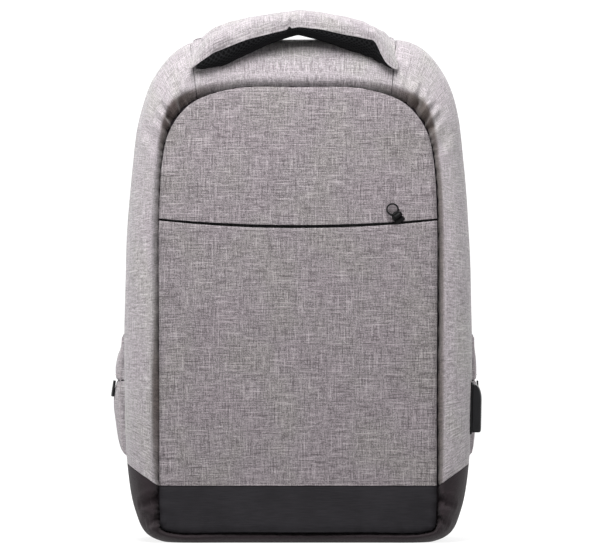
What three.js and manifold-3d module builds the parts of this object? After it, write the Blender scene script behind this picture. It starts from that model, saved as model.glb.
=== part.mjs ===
// An anti-theft backpack that stands upright, in millimetres, +Z up, front towards -Y.
// The body is sewn from padded panels round one hollow: a front panel with a zipped
// pocket, a gusset in three parts, a base, a back panel with mesh pads, a hidden main
// zip beside the back, a carrying handle, two shoulder straps and two side pockets.
import * as THREE from "three";
import { mergeVertices } from "three/addons/utils/BufferGeometryUtils.js";
import Module from "manifold-3d";

const wasm = await Module();
wasm.setup();

// Overall sizes of the body without handle, pads and straps
const bodyWidth = 298;
const bodyHeight = 428;
const bodyDepth = 134;
const panelWidth = 236; // front panel, seam to seam
const panelHeight = 389; // top of the front panel's seam above the ground
const topLean = 32; // how far the front leans back at the panel's top

// Sheets and clearances
const gussetThick = 3;
const panelThick = 4;
const seamGap = 0.6;
const layerGap = 0.35;

// Front panel and pocket
const panelCrown = 6;
const seamRoll = 7; // width of the rolled edge beside the seam
const seamSink = 5; // how deep that edge turns in
const mouthSag = 6.5; // the pocket's mouth hangs this far below its ends
const mouthGap = 2.4;
const pocketProud = 2.6; // the pocket's lip stands this far in front of the panel
const zipTapeWidth = 18;
const zipTapeThick = 1.2;
const zipLip = 5; // the panel above hides this much of the zip's tape

// Front zip's slider and the ring pull hinged on it
const sliderFromSeam = 34.5; // the slider's middle, in from the right seam
const sliderWide = 9;
const slopeSpan = 20; // the stretch of the front whose slope the slider follows
const sliderPlate = 1.3;
const cheekWide = 1.4;
const hingePin = 1.2; // diameter
const pinInset = 0.1; // its ends inside the cheeks
const hingeClear = 0.35;
const eyeWall = 0.8;
const pullReach = 7.2; // hinge to the ring's centre
const pullThick = 1.6;
const pullRing = 10.8;
const pullHole = 8.2;
const neckFlare = 1; // the pull widens over this length above its eye
const pullTilt = 34; // degrees from upright, towards the bag's middle
const pullRest = 8; // degrees that the resting pull leans in to the panel

// Back
const mainZipWidth = 8;
const mainZipThick = 2.4;
const mainZipSink = 1; // its face below the body's
const mainSliderLong = 10;
const mainSliderThick = 2.6;
const mainPullLong = 26;
const mainPullThick = 1.4;
const weldDepth = 0.1; // joined solids reach this far into each other
const backThick = 6;
const backInset = 1; // its edge inside the body's outline
const padThick = 11;
const padMargin = 17;

// Handle
const handleMidWide = 44;
const handleThick = 20;
const handleRise = 25.5; // its middle above the body's top
const handleTilt = -7; // degrees that the middle's top face turns to the front, here away from it
const handleMidY = -13;
const handleInset = 2; // its ends stop this far inside their seams

// Shoulder straps with their adjusters and lower ends
const strapWide = 66;
const strapThick = 13;
const strapReach = 36; // the straps' middle stands this far behind the back panel
const webbingWide = 25;
const webbingThick = 1.4;
const webbingTail = 50;
const adjusterWide = 35;
const adjusterThick = 4;
const adjusterBar = 4.5;
const adjusterSlot = 4.4;
const adjusterDrop = 24; // the strap's end to the adjuster's middle
const turnShare = 0.87; // how square the webbing turns round a bar, halfway through
const tabFoot = 19;
const tabWide = 40;
const tabLong = 24;
const tabThick = 2.4;
const tabInset = 5; // its root inside the body's outline
const tabMargin = 1.5; // cloth beside the webbing at its tip
const slotClear = 1; // beside the webbing in an adjuster's slot
const loopLead = 5; // webbing straight beside a bar before it turns
const tabLead = 8; // slack webbing between the tab and the adjuster
const tabDroop = 3;
const tailLead = 14; // the webbing's free tail bows out here, then hangs in again
const tailBow = 0.6;
const tailDroop = 2;

// Side pockets
const pocketSheet = 2;
const bulgeLeft = 9;
const bulgeRight = 5.6;
const pocketFront = 76; // behind the body's front plane
const pocketRear = 127;
const pocketFoot = 72;
const pocketZip = 137;
const pocketHead = 178;
const sideZipGap = 4;
const sidePullLong = 14;
const sidePullWide = 8;
const sidePullThick = 2.4;

// Charging port on the right side
const portFoot = 92;
const portHigh = 43;
const portWide = 27;
const portBehind = 50; // its middle, behind the body's front plane
const portProud = 9;
const portBevel = 2;
const flangeThick = 1.4;
const flangeRim = 3.5;
const socketWide = 13;
const socketThick = 5;
const socketDeep = 17;

// Half of the front view's outline, from the middle of the base to the middle of the top.
// panel is the front panel's seam and side the body's widest line, as shares of their
// half widths and heights. A negative height is pressed flat on the ground.
const outlineRows = [
  { panelAcross: 0, panelUp: 0.022, sideAcross: 0, sideUp: -0.01 },
  { panelAcross: 0.5, panelUp: 0.022, sideAcross: 0.38, sideUp: -0.01 },
  { panelAcross: 0.9, panelUp: 0.022, sideAcross: 0.68, sideUp: -0.008 },
  { panelAcross: 0.967, panelUp: 0.033, sideAcross: 0.87, sideUp: 0.0145 },
  { panelAcross: 0.981, panelUp: 0.068, sideAcross: 0.938, sideUp: 0.062 },
  { panelAcross: 0.982, panelUp: 0.124, sideAcross: 0.984, sideUp: 0.157 },
  { panelAcross: 0.984, panelUp: 0.31, sideAcross: 1.0, sideUp: 0.296 },
  { panelAcross: 0.994, panelUp: 0.515, sideAcross: 1.0, sideUp: 0.462 },
  { panelAcross: 1.0, panelUp: 0.708, sideAcross: 0.985, sideUp: 0.63 },
  { panelAcross: 0.98, panelUp: 0.83, sideAcross: 0.955, sideUp: 0.755 },
  { panelAcross: 0.935, panelUp: 0.897, sideAcross: 0.91, sideUp: 0.855 },
  { panelAcross: 0.842, panelUp: 0.943, sideAcross: 0.828, sideUp: 0.932 },
  { panelAcross: 0.725, panelUp: 0.972, sideAcross: 0.62, sideUp: 0.9965 },
  { panelAcross: 0.45, panelUp: 0.997, sideAcross: 0.37, sideUp: 1 },
  { panelAcross: 0, panelUp: 1, sideAcross: 0, sideUp: 1 },
];
const frontFootRow = 2.5; // the front's lower corners
const backFootRow = 3; // the back panel's lower corners
const baseRow = 5; // the black base ends here
const mouthRow = 8; // the pocket's mouth meets the side seam here
const cornerRow = 11; // where the arch turns over to its top
const handleRow = 12; // the handle's seams
const topRow = outlineRows.length - 1;
const rowCount = 2 * topRow;

// From the front panel's seam back to the main zip: the share of the depth, and how far
// the section has spread from the panel's seam to the widest line. The second to fourth
// rows are the soft roll that stands beside the seam.
const depthRows = [
  { back: 0.045, spread: 0 },
  { back: 0.002, spread: 0.13 },
  { back: -0.01, spread: 0.3 },
  { back: 0.014, spread: 0.5 },
  { back: 0.07, spread: 0.72 },
  { back: 0.17, spread: 0.89 },
  { back: 0.33, spread: 0.975 },
  { back: 0.55, spread: 1 },
  { back: 0.78, spread: 1 },
  { back: 1, spread: 0.965 },
];

// Gathers that the corner seams pull into the gusset: place along the outline and back
// from the seam, depth in millimetres, and size in rows and as a share of the way back
const gathers = [
  { row: 10.2, at: 0.16, deep: 3.4, long: 0.22, wide: 0.09 },
  { row: 11.2, at: 0.14, deep: 3.0, long: 0.3, wide: 0.08 },
  { row: 4.4, at: 0.2, deep: 2.2, long: 0.3, wide: 0.1 },
  { row: 16.5, at: 0.14, deep: 3.0, long: 0.3, wide: 0.08 },
  { row: 17.4, at: 0.16, deep: 3.2, long: 0.24, wide: 0.09 },
  { row: 23.7, at: 0.2, deep: 3.0, long: 0.3, wide: 0.12 },
];

// The handle from one end to its middle: along its length, rise from the seat to the
// arch, and thickness as a share
const handleRows = [
  { along: 0, rise: 0, thick: 0.3 },
  { along: 0.05, rise: 0.32, thick: 0.46 },
  { along: 0.13, rise: 0.58, thick: 0.74 },
  { along: 0.25, rise: 0.79, thick: 0.96 },
  { along: 0.38, rise: 0.95, thick: 1 },
  { along: 0.5, rise: 1, thick: 1 },
];
const handleFrontAt = 0.27; // its front and rear edges at the seams, from the panel's
const handleRearAt = 0.68; // seam back

// A shoulder strap from its top seam down: shares of the body's half width, the reach
// behind the back panel, the body's height, and the strap's width and thickness
const strapRows = [
  { across: 0.27, behind: 0.085, up: 0.945, wide: 0.86, thick: 0.36 },
  { across: 0.278, behind: 0.24, up: 0.905, wide: 0.92, thick: 0.8 },
  { across: 0.29, behind: 0.48, up: 0.86, wide: 0.96, thick: 1 },
  { across: 0.31, behind: 0.72, up: 0.8, wide: 1, thick: 1 },
  { across: 0.36, behind: 0.94, up: 0.7, wide: 1, thick: 1 },
  { across: 0.43, behind: 1, up: 0.59, wide: 0.98, thick: 1 },
  { across: 0.505, behind: 0.99, up: 0.48, wide: 0.92, thick: 1 },
  { across: 0.575, behind: 0.93, up: 0.38, wide: 0.8, thick: 0.95 },
  { across: 0.625, behind: 0.85, up: 0.3, wide: 0.66, thick: 0.8 },
  { across: 0.65, behind: 0.78, up: 0.25, wide: 0.58, thick: 0.4 },
];

// The pads, as shares of the back's width and height inside its margin
const padRows = {
  back_pad_left: { left: 0.06, right: 0.48, foot: 0.36, head: 0.84 },
  back_pad_right: { left: 0.52, right: 0.94, foot: 0.36, head: 0.84 },
  back_pad_lumbar: { left: 0.22, right: 0.78, foot: 0.15, head: 0.33 },
};

// A side pocket's bulge from its foot to its head
const bulgeRows = [
  { up: 0, bulge: 0.1 },
  { up: 0.15, bulge: 0.62 },
  { up: 0.38, bulge: 1 },
  { up: 0.54, bulge: 0.94 },
  { up: 0.61, bulge: 0.84 },
  { up: 0.7, bulge: 0.92 },
  { up: 0.85, bulge: 0.6 },
  { up: 1, bulge: 0.08 },
];

// Grid stops that crowd towards rolled edges
const acrossStops = [0, 0.025, 0.06, 0.12, 0.22, 0.36, 0.5, 0.64, 0.78, 0.88, 0.94, 0.975, 1];
const archStops = [0, 0.14, 0.3, 0.46, 0.62, 0.76, 0.87, 0.94, 0.975, 1];
const lowerStops = [0, 0.15, 0.35, 0.6, 0.82, 1];
const padStops = [0, 0.06, 0.16, 0.35, 0.65, 0.84, 0.94, 1];
const strapStops = [0, 0.06, 0.17, 0.36, 0.64, 0.83, 0.94, 1];
const portStops = [0, 0.07, 0.3, 0.55, 0.7, 0.8, 0.88, 0.95, 1];
const shellSteps = depthRows.length - 1;
const hardwareSides = 16;

// Colours and finishes
const greyCloth = { color: 0xa49d9f, roughness: 0.95 };
const blackCloth = { color: 0x2b292c, roughness: 0.8 };
const blackMesh = { color: 0x17181a, roughness: 0.95 };
const blackWeb = { color: 0x1c1c1e, roughness: 0.85 };
const blackPlastic = { color: 0x1b1c1e, roughness: 0.5 };
const blackMetal = { color: 0x121214, roughness: 0.4, metalness: 0.6 };

// Planes of the front and back, from front to rear, and places tied to other sizes
const frontY = -bodyDepth / 2;
const zipFrontY = bodyDepth / 2 + seamGap;
const backFrontY = zipFrontY + mainZipWidth + seamGap;
const backFaceY = backFrontY + backThick;
const handleTop = bodyHeight + handleRise;
const sliderAcross = panelWidth / 2 - sliderFromSeam;

const mix = THREE.MathUtils.lerp;
const radians = THREE.MathUtils.degToRad;
const point = (x, y, z) => new THREE.Vector3(x, y, z);
const evenly = (count) => Array.from({ length: count + 1 }, (_, i) => i / count);

// Where a rising test first holds between two values
function crossing(low, high, isPast) {
  for (let i = 0; i < 30; i++) {
    const middle = (low + high) / 2;
    if (isPast(middle)) high = middle;
    else low = middle;
  }
  return (low + high) / 2;
}

// A value of a table's column, straight between its rows
function tableAt(rows, key, share, column) {
  const next = Math.max(1, rows.findIndex((row) => row[key] >= share));
  const [low, high] = [rows[next - 1], rows[next]];
  return mix(low[column], high[column], (share - low[key]) / (high[key] - low[key]));
}

// One outline as a closed curve through its rows and their mirror images, in the XZ plane
function outlineCurve(acrossKey, upKey, halfWidth, height) {
  const half = outlineRows.map((row) => point(row[acrossKey] * halfWidth, 0, row[upKey] * height));
  const inner = half.slice(1, topRow).reverse();
  const mirrored = inner.map((p) => point(-p.x, 0, p.z));
  return new THREE.CatmullRomCurve3([...half, ...mirrored], true, "centripetal");
}

const panelCurve = outlineCurve("panelAcross", "panelUp", panelWidth / 2, panelHeight);
const sideCurve = outlineCurve("sideAcross", "sideUp", bodyWidth / 2, bodyHeight);
const depthCurve = new THREE.CatmullRomCurve3(
  depthRows.map((row) => point(row.back, row.spread, 0)),
  false,
  "centripetal",
);
const turned = (row) => ((row % rowCount) + rowCount) % rowCount;
const onCurve = (curve, row) => curve.getPoint(turned(row) / rowCount);
const leanAt = (z) => topLean * Math.pow(Math.max(0, z) / panelHeight, 3);

// The body's outer face before its gathers: row along the outline, share of the way back
function plainBody(row, at) {
  const seam = onCurve(panelCurve, row);
  const side = onCurve(sideCurve, row);
  const station = depthCurve.getPoint(Math.min(1, Math.max(0, at)));
  const z = Math.max(0, mix(seam.z, side.z, station.y));
  const y = frontY + leanAt(z) * (1 - station.x) + station.x * bodyDepth;
  return point(mix(seam.x, side.x, station.y), y, z);
}

// A surface's normal, by small steps along both of its directions
function normalOf(surface, a, b, step = 0.01) {
  const alongA = surface(a + step, b).sub(surface(a - step, b));
  const low = Math.max(0, b - step);
  const high = Math.min(1, b + step);
  const alongB = surface(a, high).sub(surface(a, low));
  return alongB.cross(alongA).normalize();
}

function bodyFace(row, at, outward = 0) {
  const gathered = gathers.reduce((sum, g) => {
    const along = (turned(row) - g.row) / g.long;
    const behind = (at - g.at) / g.wide;
    return sum + g.deep * Math.exp(-along * along - behind * behind);
  }, 0);
  const lift = outward - gathered;
  return plainBody(row, at).addScaledVector(normalOf(plainBody, row, at), lift);
}

// The row and the share of the way back of a spot on the right side
const rowAtHeight = (z) => crossing(3, handleRow, (row) => onCurve(sideCurve, row).z > z);
const shareBehind = (y) => crossing(0.25, 1, (at) => depthCurve.getPoint(at).x * bodyDepth > y);

// A spot on one side of the body: distance behind the front plane, height, and lift
function sideFace(side, behind, height, outward) {
  const row = rowAtHeight(height);
  return bodyFace(side > 0 ? row : rowCount - row, shareBehind(behind), outward);
}

// Geometry from loose triangles, with its faces turned outwards
function closedGeometry(triangles) {
  let volume = 0;
  for (let i = 0; i < triangles.length; i += 3) {
    const [a, b, c] = triangles.slice(i, i + 3);
    volume += a.dot(point(0, 0, 0).crossVectors(b, c));
  }
  const ordered = volume > 0 ? triangles : [...triangles].reverse();
  const geometry = new THREE.BufferGeometry().setFromPoints(ordered);
  geometry.computeVertexNormals();
  return geometry;
}

// A closed solid between two faces over a grid of stops from 0 to 1, with a rim
function sheetSolid(columns, rows, outer, inner) {
  const triangles = [];
  const grid = (face) => columns.map((a) => rows.map((b) => face(a, b)));
  const quad = (a, b, c, d) => triangles.push(a, b, c, a, c, d);
  const [top, bottom] = [grid(outer), grid(inner)];
  const [lastI, lastJ] = [columns.length - 1, rows.length - 1];
  for (let i = 0; i < lastI; i++) {
    for (let j = 0; j < lastJ; j++) {
      quad(top[i][j], top[i + 1][j], top[i + 1][j + 1], top[i][j + 1]);
      quad(bottom[i + 1][j + 1], bottom[i + 1][j], bottom[i][j], bottom[i][j + 1]);
    }
    quad(top[i][0], bottom[i][0], bottom[i + 1][0], top[i + 1][0]);
    quad(top[i][lastJ], top[i + 1][lastJ], bottom[i + 1][lastJ], bottom[i][lastJ]);
  }
  for (let j = 0; j < lastJ; j++) {
    quad(top[0][j], top[0][j + 1], bottom[0][j + 1], bottom[0][j]);
    quad(top[lastI][j], bottom[lastI][j], bottom[lastI][j + 1], top[lastI][j + 1]);
  }
  return closedGeometry(triangles);
}

// Joins and cuts, by way of manifold-3d
function solidOf(geometry) {
  const bare = geometry.index ? geometry.toNonIndexed() : geometry.clone();
  bare.deleteAttribute("normal");
  bare.deleteAttribute("uv");
  const merged = mergeVertices(bare, 1e-3);
  return new wasm.Manifold(
    new wasm.Mesh({
      numProp: 3,
      vertProperties: merged.attributes.position.array,
      triVerts: new Uint32Array(merged.index.array),
    }),
  );
}

function geometryOf(solid) {
  const mesh = solid.getMesh();
  const geometry = new THREE.BufferGeometry();
  geometry.setAttribute("position", new THREE.BufferAttribute(mesh.vertProperties, 3));
  geometry.setIndex(new THREE.BufferAttribute(mesh.triVerts, 1));
  geometry.computeVertexNormals();
  return geometry;
}

// A flat plate from a shape in the XY plane, with its thickness centred on it
function plate(shape, thick, bevel = 0) {
  const geometry = new THREE.ExtrudeGeometry(shape, {
    depth: thick - 2 * bevel,
    bevelEnabled: bevel > 0,
    bevelThickness: bevel,
    bevelSize: bevel,
    bevelOffset: -bevel,
    bevelSegments: 1,
    curveSegments: hardwareSides / 2,
  });
  return geometry.translate(0, 0, bevel - thick / 2);
}

const bag = new THREE.Group();

function addPiece(name, geometry, finish, parent = bag) {
  const mesh = new THREE.Mesh(geometry, new THREE.MeshStandardMaterial(finish));
  mesh.name = name;
  parent.add(mesh);
  return mesh;
}

// A frame in space: its own X, Y and Z directions and its origin
function addFrame(origin, alongX, alongY, alongZ) {
  const frame = new THREE.Group();
  frame.quaternion.setFromRotationMatrix(new THREE.Matrix4().makeBasis(alongX, alongY, alongZ));
  frame.position.copy(origin);
  bag.add(frame);
  return frame;
}

// A stretch of the body's shell between two rows, short of them by half a seam's gap.
// Its rear edge may run on to a plane behind the main zip.
function addShell(name, fromRow, toRow, columns, finish, rearY = bodyDepth / 2) {
  const lastShare = rearY > bodyDepth / 2 ? shellSteps / (shellSteps + 1) : 1;
  const stops = evenly(Math.round(shellSteps / lastShare));
  const face = (outward) => (a, b) => {
    const row = mix(fromRow, toRow, a);
    const at = Math.min(1, b / lastShare);
    const ahead = plainBody(row + 0.01, at).sub(plainBody(row - 0.01, at)).normalize();
    const p = bodyFace(row, at, outward).addScaledVector(ahead, (0.5 - a) * seamGap);
    if (b > lastShare) p.y = rearY;
    p.z = Math.max(outward < 0 ? gussetThick : 0, p.z);
    return p;
  };
  addPiece(name, sheetSolid(evenly(columns), stops, face(0), face(-gussetThick)), finish);
}

function addBodyShell() {
  addShell("gusset_right", baseRow, handleRow, 18, greyCloth);
  addShell("gusset_top", handleRow, rowCount - handleRow, 10, greyCloth);
  addShell("gusset_left", rowCount - handleRow, rowCount - baseRow, 18, greyCloth);
  addShell("base_boot", -baseRow, baseRow, 26, blackCloth, backFrontY - seamGap);
}

// The front face: leaning back, crowned, and rolled in along its seam
const seamPoints = panelCurve.getPoints(240);

function seamDistance(x, z) {
  return seamPoints.reduce((least, p) => Math.min(least, Math.hypot(x - p.x, z - p.z)), seamRoll);
}

function frontFace(x, z, inward = 0) {
  const across = x / (panelWidth / 2);
  const crown = panelCrown * (1 - across * across);
  const turn = 1 - seamDistance(x, z) / seamRoll;
  const sink = seamSink * (1 - Math.sqrt(1 - turn * turn));
  return point(x, frontY + leanAt(z) - crown + sink + inward, z);
}

// The front panel's seam, drawn in by the seam's gap
function seamAt(row) {
  const run = onCurve(panelCurve, row + 0.02).sub(onCurve(panelCurve, row - 0.02)).normalize();
  return onCurve(panelCurve, row).add(point(-run.z * seamGap, 0, run.x * seamGap));
}

// A patch between four edge lines: foot and head run across, left and right run up
function edgePatch(foot, head, left, right) {
  return (a, b) => {
    const rail = foot(a).lerp(head(a), b);
    const side = left(b).lerp(right(b), a);
    const flat = foot(0).lerp(foot(1), a).lerp(head(0).lerp(head(1), a), b);
    return rail.add(side).sub(flat);
  };
}

const rightSeam = (fromRow, toRow) => (b) => seamAt(mix(fromRow, toRow, b));
const leftSeam = (fromRow, toRow) => (b) => seamAt(rowCount - mix(fromRow, toRow, b));

// A line across the front between the seams at one row, sagging in its middle
function levelLine(row, sag = 0) {
  const [left, right] = [seamAt(rowCount - row), seamAt(row)];
  return (a) => {
    const p = left.clone().lerp(right, a);
    p.z -= sag * 4 * a * (1 - a);
    return p;
  };
}

const mouthLine = levelLine(mouthRow, mouthSag);
const mouthAt = (x) => mouthLine(0.5 + x / panelWidth).z;
const rowAbove = (row, lift) =>
  crossing(row, topRow, (high) => seamAt(high).z > seamAt(row).z + lift);
const panelFootRow = rowAbove(mouthRow, mouthGap);
const footRow = rowAbove(baseRow, seamGap);

function addFrontPart(name, patch, rows, finish, proud = () => 0) {
  const face = (inward) => (a, b) => {
    const p = patch(a, b);
    return frontFace(p.x, p.z, inward - proud(b));
  };
  addPiece(name, sheetSolid(acrossStops, rows, face(0), face(panelThick)), finish);
}

function addFront() {
  const panelFoot = levelLine(panelFootRow, mouthSag);
  const arch = (a) => seamAt(mix(rowCount - cornerRow, cornerRow, a));
  const panelSides = [leftSeam(panelFootRow, cornerRow), rightSeam(panelFootRow, cornerRow)];
  addFrontPart("front_panel", edgePatch(panelFoot, arch, ...panelSides), archStops, greyCloth);

  const pocketSides = [leftSeam(footRow, mouthRow), rightSeam(footRow, mouthRow)];
  const pocket = edgePatch(levelLine(footRow), mouthLine, ...pocketSides);
  addFrontPart("front_pocket", pocket, evenly(6), greyCloth, (b) => pocketProud * b * b);

  const foot = (a) => seamAt(mix(rowCount - frontFootRow, rowCount + frontFootRow, a));
  const baseSides = [leftSeam(frontFootRow, baseRow), rightSeam(frontFootRow, baseRow)];
  const base = edgePatch(foot, levelLine(baseRow), ...baseSides);
  addFrontPart("front_base", base, lowerStops, blackCloth);
}

// The front zip's tape lies behind the panel and the pocket's lip
function addFrontZip() {
  const half = panelWidth / 2 - seamRoll;
  const face = (inward) => (a, b) => {
    const x = mix(-half, half, a);
    const z = mouthAt(x) + mouthGap + zipLip - zipTapeWidth * (1 - b);
    return frontFace(x, z, panelThick + 2 * layerGap + inward);
  };
  const tape = sheetSolid(evenly(12), evenly(2), face(0), face(zipTapeThick));
  addPiece("front_zip", tape, blackWeb);
}

// The front zip's slider, and a pull that turns on the slider's pin
function addZipPull() {
  const eyeOuter = hingePin / 2 + hingeClear + eyeWall;
  const pinLift = sliderPlate + hingeClear + eyeOuter; // above the plate's back
  const z = mouthAt(sliderAcross) + sliderWide / 2 + layerGap;
  const surface = (a, b) => frontFace(sliderAcross + slopeSpan * a, z + slopeSpan * b);
  const out = normalOf(surface, 0, 0.5, 0.3).negate();
  if (out.y > 0) out.negate();
  const tilt = radians(pullTilt);
  const along = point(-Math.sin(tilt), 0, Math.cos(tilt)).projectOnPlane(out).normalize();
  const seat = frontFace(sliderAcross, z).addScaledVector(out, layerGap * 2);
  const frame = addFrame(seat, along.clone().cross(out), along, out);

  const disc = new THREE.CylinderGeometry(sliderWide / 2, sliderWide / 2, sliderPlate, 20);
  let slider = solidOf(disc.rotateX(Math.PI / 2).translate(0, 0, sliderPlate / 2));
  const cheekHigh = pinLift + hingePin;
  for (const side of [-1, 1]) {
    const cheek = new THREE.BoxGeometry(cheekWide, 2 * eyeOuter, cheekHigh);
    cheek.translate((side * (sliderWide - cheekWide)) / 2, 0, cheekHigh / 2);
    slider = slider.add(solidOf(cheek));
  }
  const pin = new THREE.CylinderGeometry(hingePin / 2, hingePin / 2, sliderWide - 2 * pinInset, 12);
  slider = slider.add(solidOf(pin.rotateZ(Math.PI / 2).translate(0, 0, pinLift)));
  addPiece("zip_slider", geometryOf(slider), blackMetal, frame);

  const eyeWide = sliderWide - 2 * (cheekWide + hingeClear);
  const neck = eyeOuter + hingeClear;
  const outline = new THREE.Shape();
  outline.moveTo(-eyeWide / 2, 0);
  outline.lineTo(eyeWide / 2, 0);
  outline.lineTo(eyeWide / 2, neck);
  outline.lineTo(sliderWide / 2, neck + neckFlare);
  outline.lineTo(pullRing / 2, pullReach);
  outline.absarc(0, pullReach, pullRing / 2, 0, Math.PI, false);
  outline.lineTo(-sliderWide / 2, neck + neckFlare);
  outline.lineTo(-eyeWide / 2, neck);
  const hole = new THREE.Path();
  hole.absarc(0, pullReach, pullHole / 2, 0, 2 * Math.PI, true);
  outline.holes.push(hole);
  const eye = new THREE.CylinderGeometry(eyeOuter, eyeOuter, eyeWide, hardwareSides);
  const boreRadius = hingePin / 2 + hingeClear;
  const bore = new THREE.CylinderGeometry(boreRadius, boreRadius, sliderWide, hardwareSides);
  const body = solidOf(plate(outline, pullThick)).add(solidOf(eye.rotateZ(Math.PI / 2)));
  const pull = body.subtract(solidOf(bore.rotateZ(Math.PI / 2)));
  const mesh = addPiece("zip_pull", geometryOf(pull), blackMetal, frame);
  mesh.position.z = pinLift;
  mesh.rotation.x = -radians(pullRest);
}

// The main zip runs over the top from base to base, between gusset and back panel
function addMainZip() {
  const face = (inward) => (a, b) => {
    const row = mix(baseRow, rowCount - baseRow, a);
    const ahead = plainBody(row + 0.01, 1).sub(plainBody(row - 0.01, 1)).normalize();
    const p = bodyFace(row, 1, -mainZipSink - inward).addScaledVector(ahead, (1 - 2 * a) * seamGap);
    return p.setY(mix(zipFrontY, zipFrontY + mainZipWidth, b));
  };
  const tape = sheetSolid(evenly(46), evenly(1), face(0), face(mainZipThick));
  addPiece("main_zip", tape, blackWeb);
}

// Two plain sliders meet on the main zip at one shoulder
function addMainSliders() {
  const lift = 2 * layerGap - mainZipSink;
  for (const [name, row] of [["main_slider_upper", 15.55], ["main_slider_lower", 15.95]]) {
    const seat = bodyFace(row, 1, lift);
    const out = normalOf(plainBody, row, 1);
    const back = point(0, 1, 0);
    const along = back.clone().cross(out).normalize();
    const middle = point(seat.x, zipFrontY + mainZipWidth / 2, seat.z);
    const frame = addFrame(middle, along, back, along.clone().cross(back));
    const body = new THREE.BoxGeometry(mainSliderLong, mainZipWidth - mainZipSink, mainSliderThick);
    body.translate(0, 0, mainSliderThick / 2);
    const tab = new THREE.BoxGeometry(mainSliderLong * 0.7, mainPullLong, mainPullThick);
    const tabLift = mainSliderThick + mainPullThick / 2 - weldDepth;
    tab.translate(0, mainPullLong / 2 - mainZipWidth / 2, tabLift);
    addPiece(name, geometryOf(solidOf(body).add(solidOf(tab))), blackMetal, frame);
  }
}

// The outline of the body at the main zip, drawn in by an inset
function rearOutline(row, inset) {
  const p = bodyFace(row, 1);
  const run = bodyFace(row + 0.02, 1).sub(bodyFace(row - 0.02, 1)).setY(0).normalize();
  return point(p.x - run.z * inset, 0, p.z + run.x * inset);
}

function backPatch(inset) {
  const line = (fromRow, toRow) => (share) => rearOutline(mix(fromRow, toRow, share), inset);
  return edgePatch(
    line(rowCount - backFootRow, rowCount + backFootRow),
    line(rowCount - cornerRow, cornerRow),
    line(rowCount - backFootRow, rowCount - cornerRow),
    line(backFootRow, cornerRow),
  );
}

function addBack() {
  const whole = backPatch(backInset);
  const face = (y) => (a, b) => whole(a, b).setY(y);
  const panel = sheetSolid(evenly(14), evenly(14), face(backFaceY), face(backFrontY));
  addPiece("back_panel", panel, blackCloth);

  const inside = backPatch(padMargin);
  for (const [name, pad] of Object.entries(padRows)) {
    const padFace = (thick) => (a, b) => {
      const p = inside(mix(pad.left, pad.right, a), mix(pad.foot, pad.head, b));
      const round = (1 - Math.abs(2 * a - 1) ** 5) * (1 - Math.abs(2 * b - 1) ** 7);
      return p.setY(backFaceY + layerGap + thick * (0.25 + 0.75 * round ** 0.45));
    };
    const flat = (a, b) => padFace(0)(a, b);
    addPiece(name, sheetSolid(padStops, padStops, padFace(padThick), flat), blackMesh);
  }
}

// A padded strip on both sides of its middle surface: a cloth cover and a mesh lining
function addPaddedStrip(coverName, liningName, columns, surface, thickAt) {
  const layer = (side, share) => (a, b) => {
    const edge = 0.3 + 0.7 * Math.sqrt(1 - Math.abs(2 * b - 1) ** 2.4);
    const lift = seamGap / 2 + share * edge * (thickAt(a) / 2);
    return surface(a, b).addScaledVector(normalOf(surface, a, b), side * lift);
  };
  const strip = (side) => sheetSolid(columns, strapStops, layer(side, 1), layer(side, 0));
  addPiece(coverName, strip(1), greyCloth);
  addPiece(liningName, strip(-1), blackMesh);
}

// The handle is seated on the gusset at both of its seams and arches over the middle
function addHandle() {
  const halves = [...handleRows].reverse().slice(1);
  const rows = [...handleRows, ...halves.map((row) => ({ ...row, along: 1 - row.along }))];
  const tilt = radians(handleTilt);
  const topLift = (0.35 * Math.abs(Math.sin(tilt)) * handleMidWide + Math.cos(tilt) * handleThick) / 2;
  const halfEnd = (handleRows[0].thick * handleThick + seamGap + handleInset) / 2;
  const seatLift = layerGap + halfEnd;
  const surface = (a, b) => {
    const share = Math.min(1, Math.max(0, a));
    const at = mix(handleRearAt, handleFrontAt, b);
    const seat = bodyFace(a > 0.5 ? handleRow : rowCount - handleRow, at, seatLift);
    const reach = (0.5 - b) * handleMidWide;
    const archY = handleMidY + reach * Math.cos(tilt);
    const archZ = handleTop - topLift + reach * Math.sin(tilt);
    const rise = tableAt(rows, "along", share, "rise");
    const x = (Math.abs(seat.x) - handleInset) * (2 * a - 1);
    return point(x, mix(seat.y, archY, rise), mix(seat.z, archZ, rise));
  };
  const thickAt = (a) => handleThick * tableAt(rows, "along", a, "thick");
  const stops = rows.map((row) => row.along);
  addPaddedStrip("handle_cover", "handle_lining", stops, surface, thickAt);
}

// The centre line of a shoulder strap; side is 1 on the right and -1 on the left
function strapPath(side) {
  const centres = strapRows.map((row) => {
    const x = (side * row.across * bodyWidth) / 2;
    return point(x, backFaceY + row.behind * strapReach, row.up * bodyHeight);
  });
  return new THREE.CatmullRomCurve3(centres);
}

// Directions at a place on a strap: down it, across it and out from the back
function strapDirections(path, share) {
  const down = path.getTangent(Math.min(1, Math.max(0, share)));
  const across = point(1, 0, 0).projectOnPlane(down).normalize();
  return { down, across, out: down.clone().cross(across).negate() };
}

function addStrap(side, suffix) {
  const path = strapPath(side);
  const steps = strapRows.length - 1;
  const rows = strapRows.map((row, i) => ({ ...row, along: i / steps }));
  const surface = (a, b) => {
    const share = Math.min(1, Math.max(0, a));
    const wide = strapWide * tableAt(rows, "along", share, "wide");
    const centre = path.getPoint(share).addScaledVector(path.getTangent(share), a - share);
    return centre.addScaledVector(strapDirections(path, share).across, (b - 0.5) * wide);
  };
  const thickAt = (a) => strapThick * tableAt(rows, "along", a, "thick");
  const names = [`strap_cover_${suffix}`, `strap_lining_${suffix}`];
  addPaddedStrip(...names, rows.map((row) => row.along), surface, thickAt);
}

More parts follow.
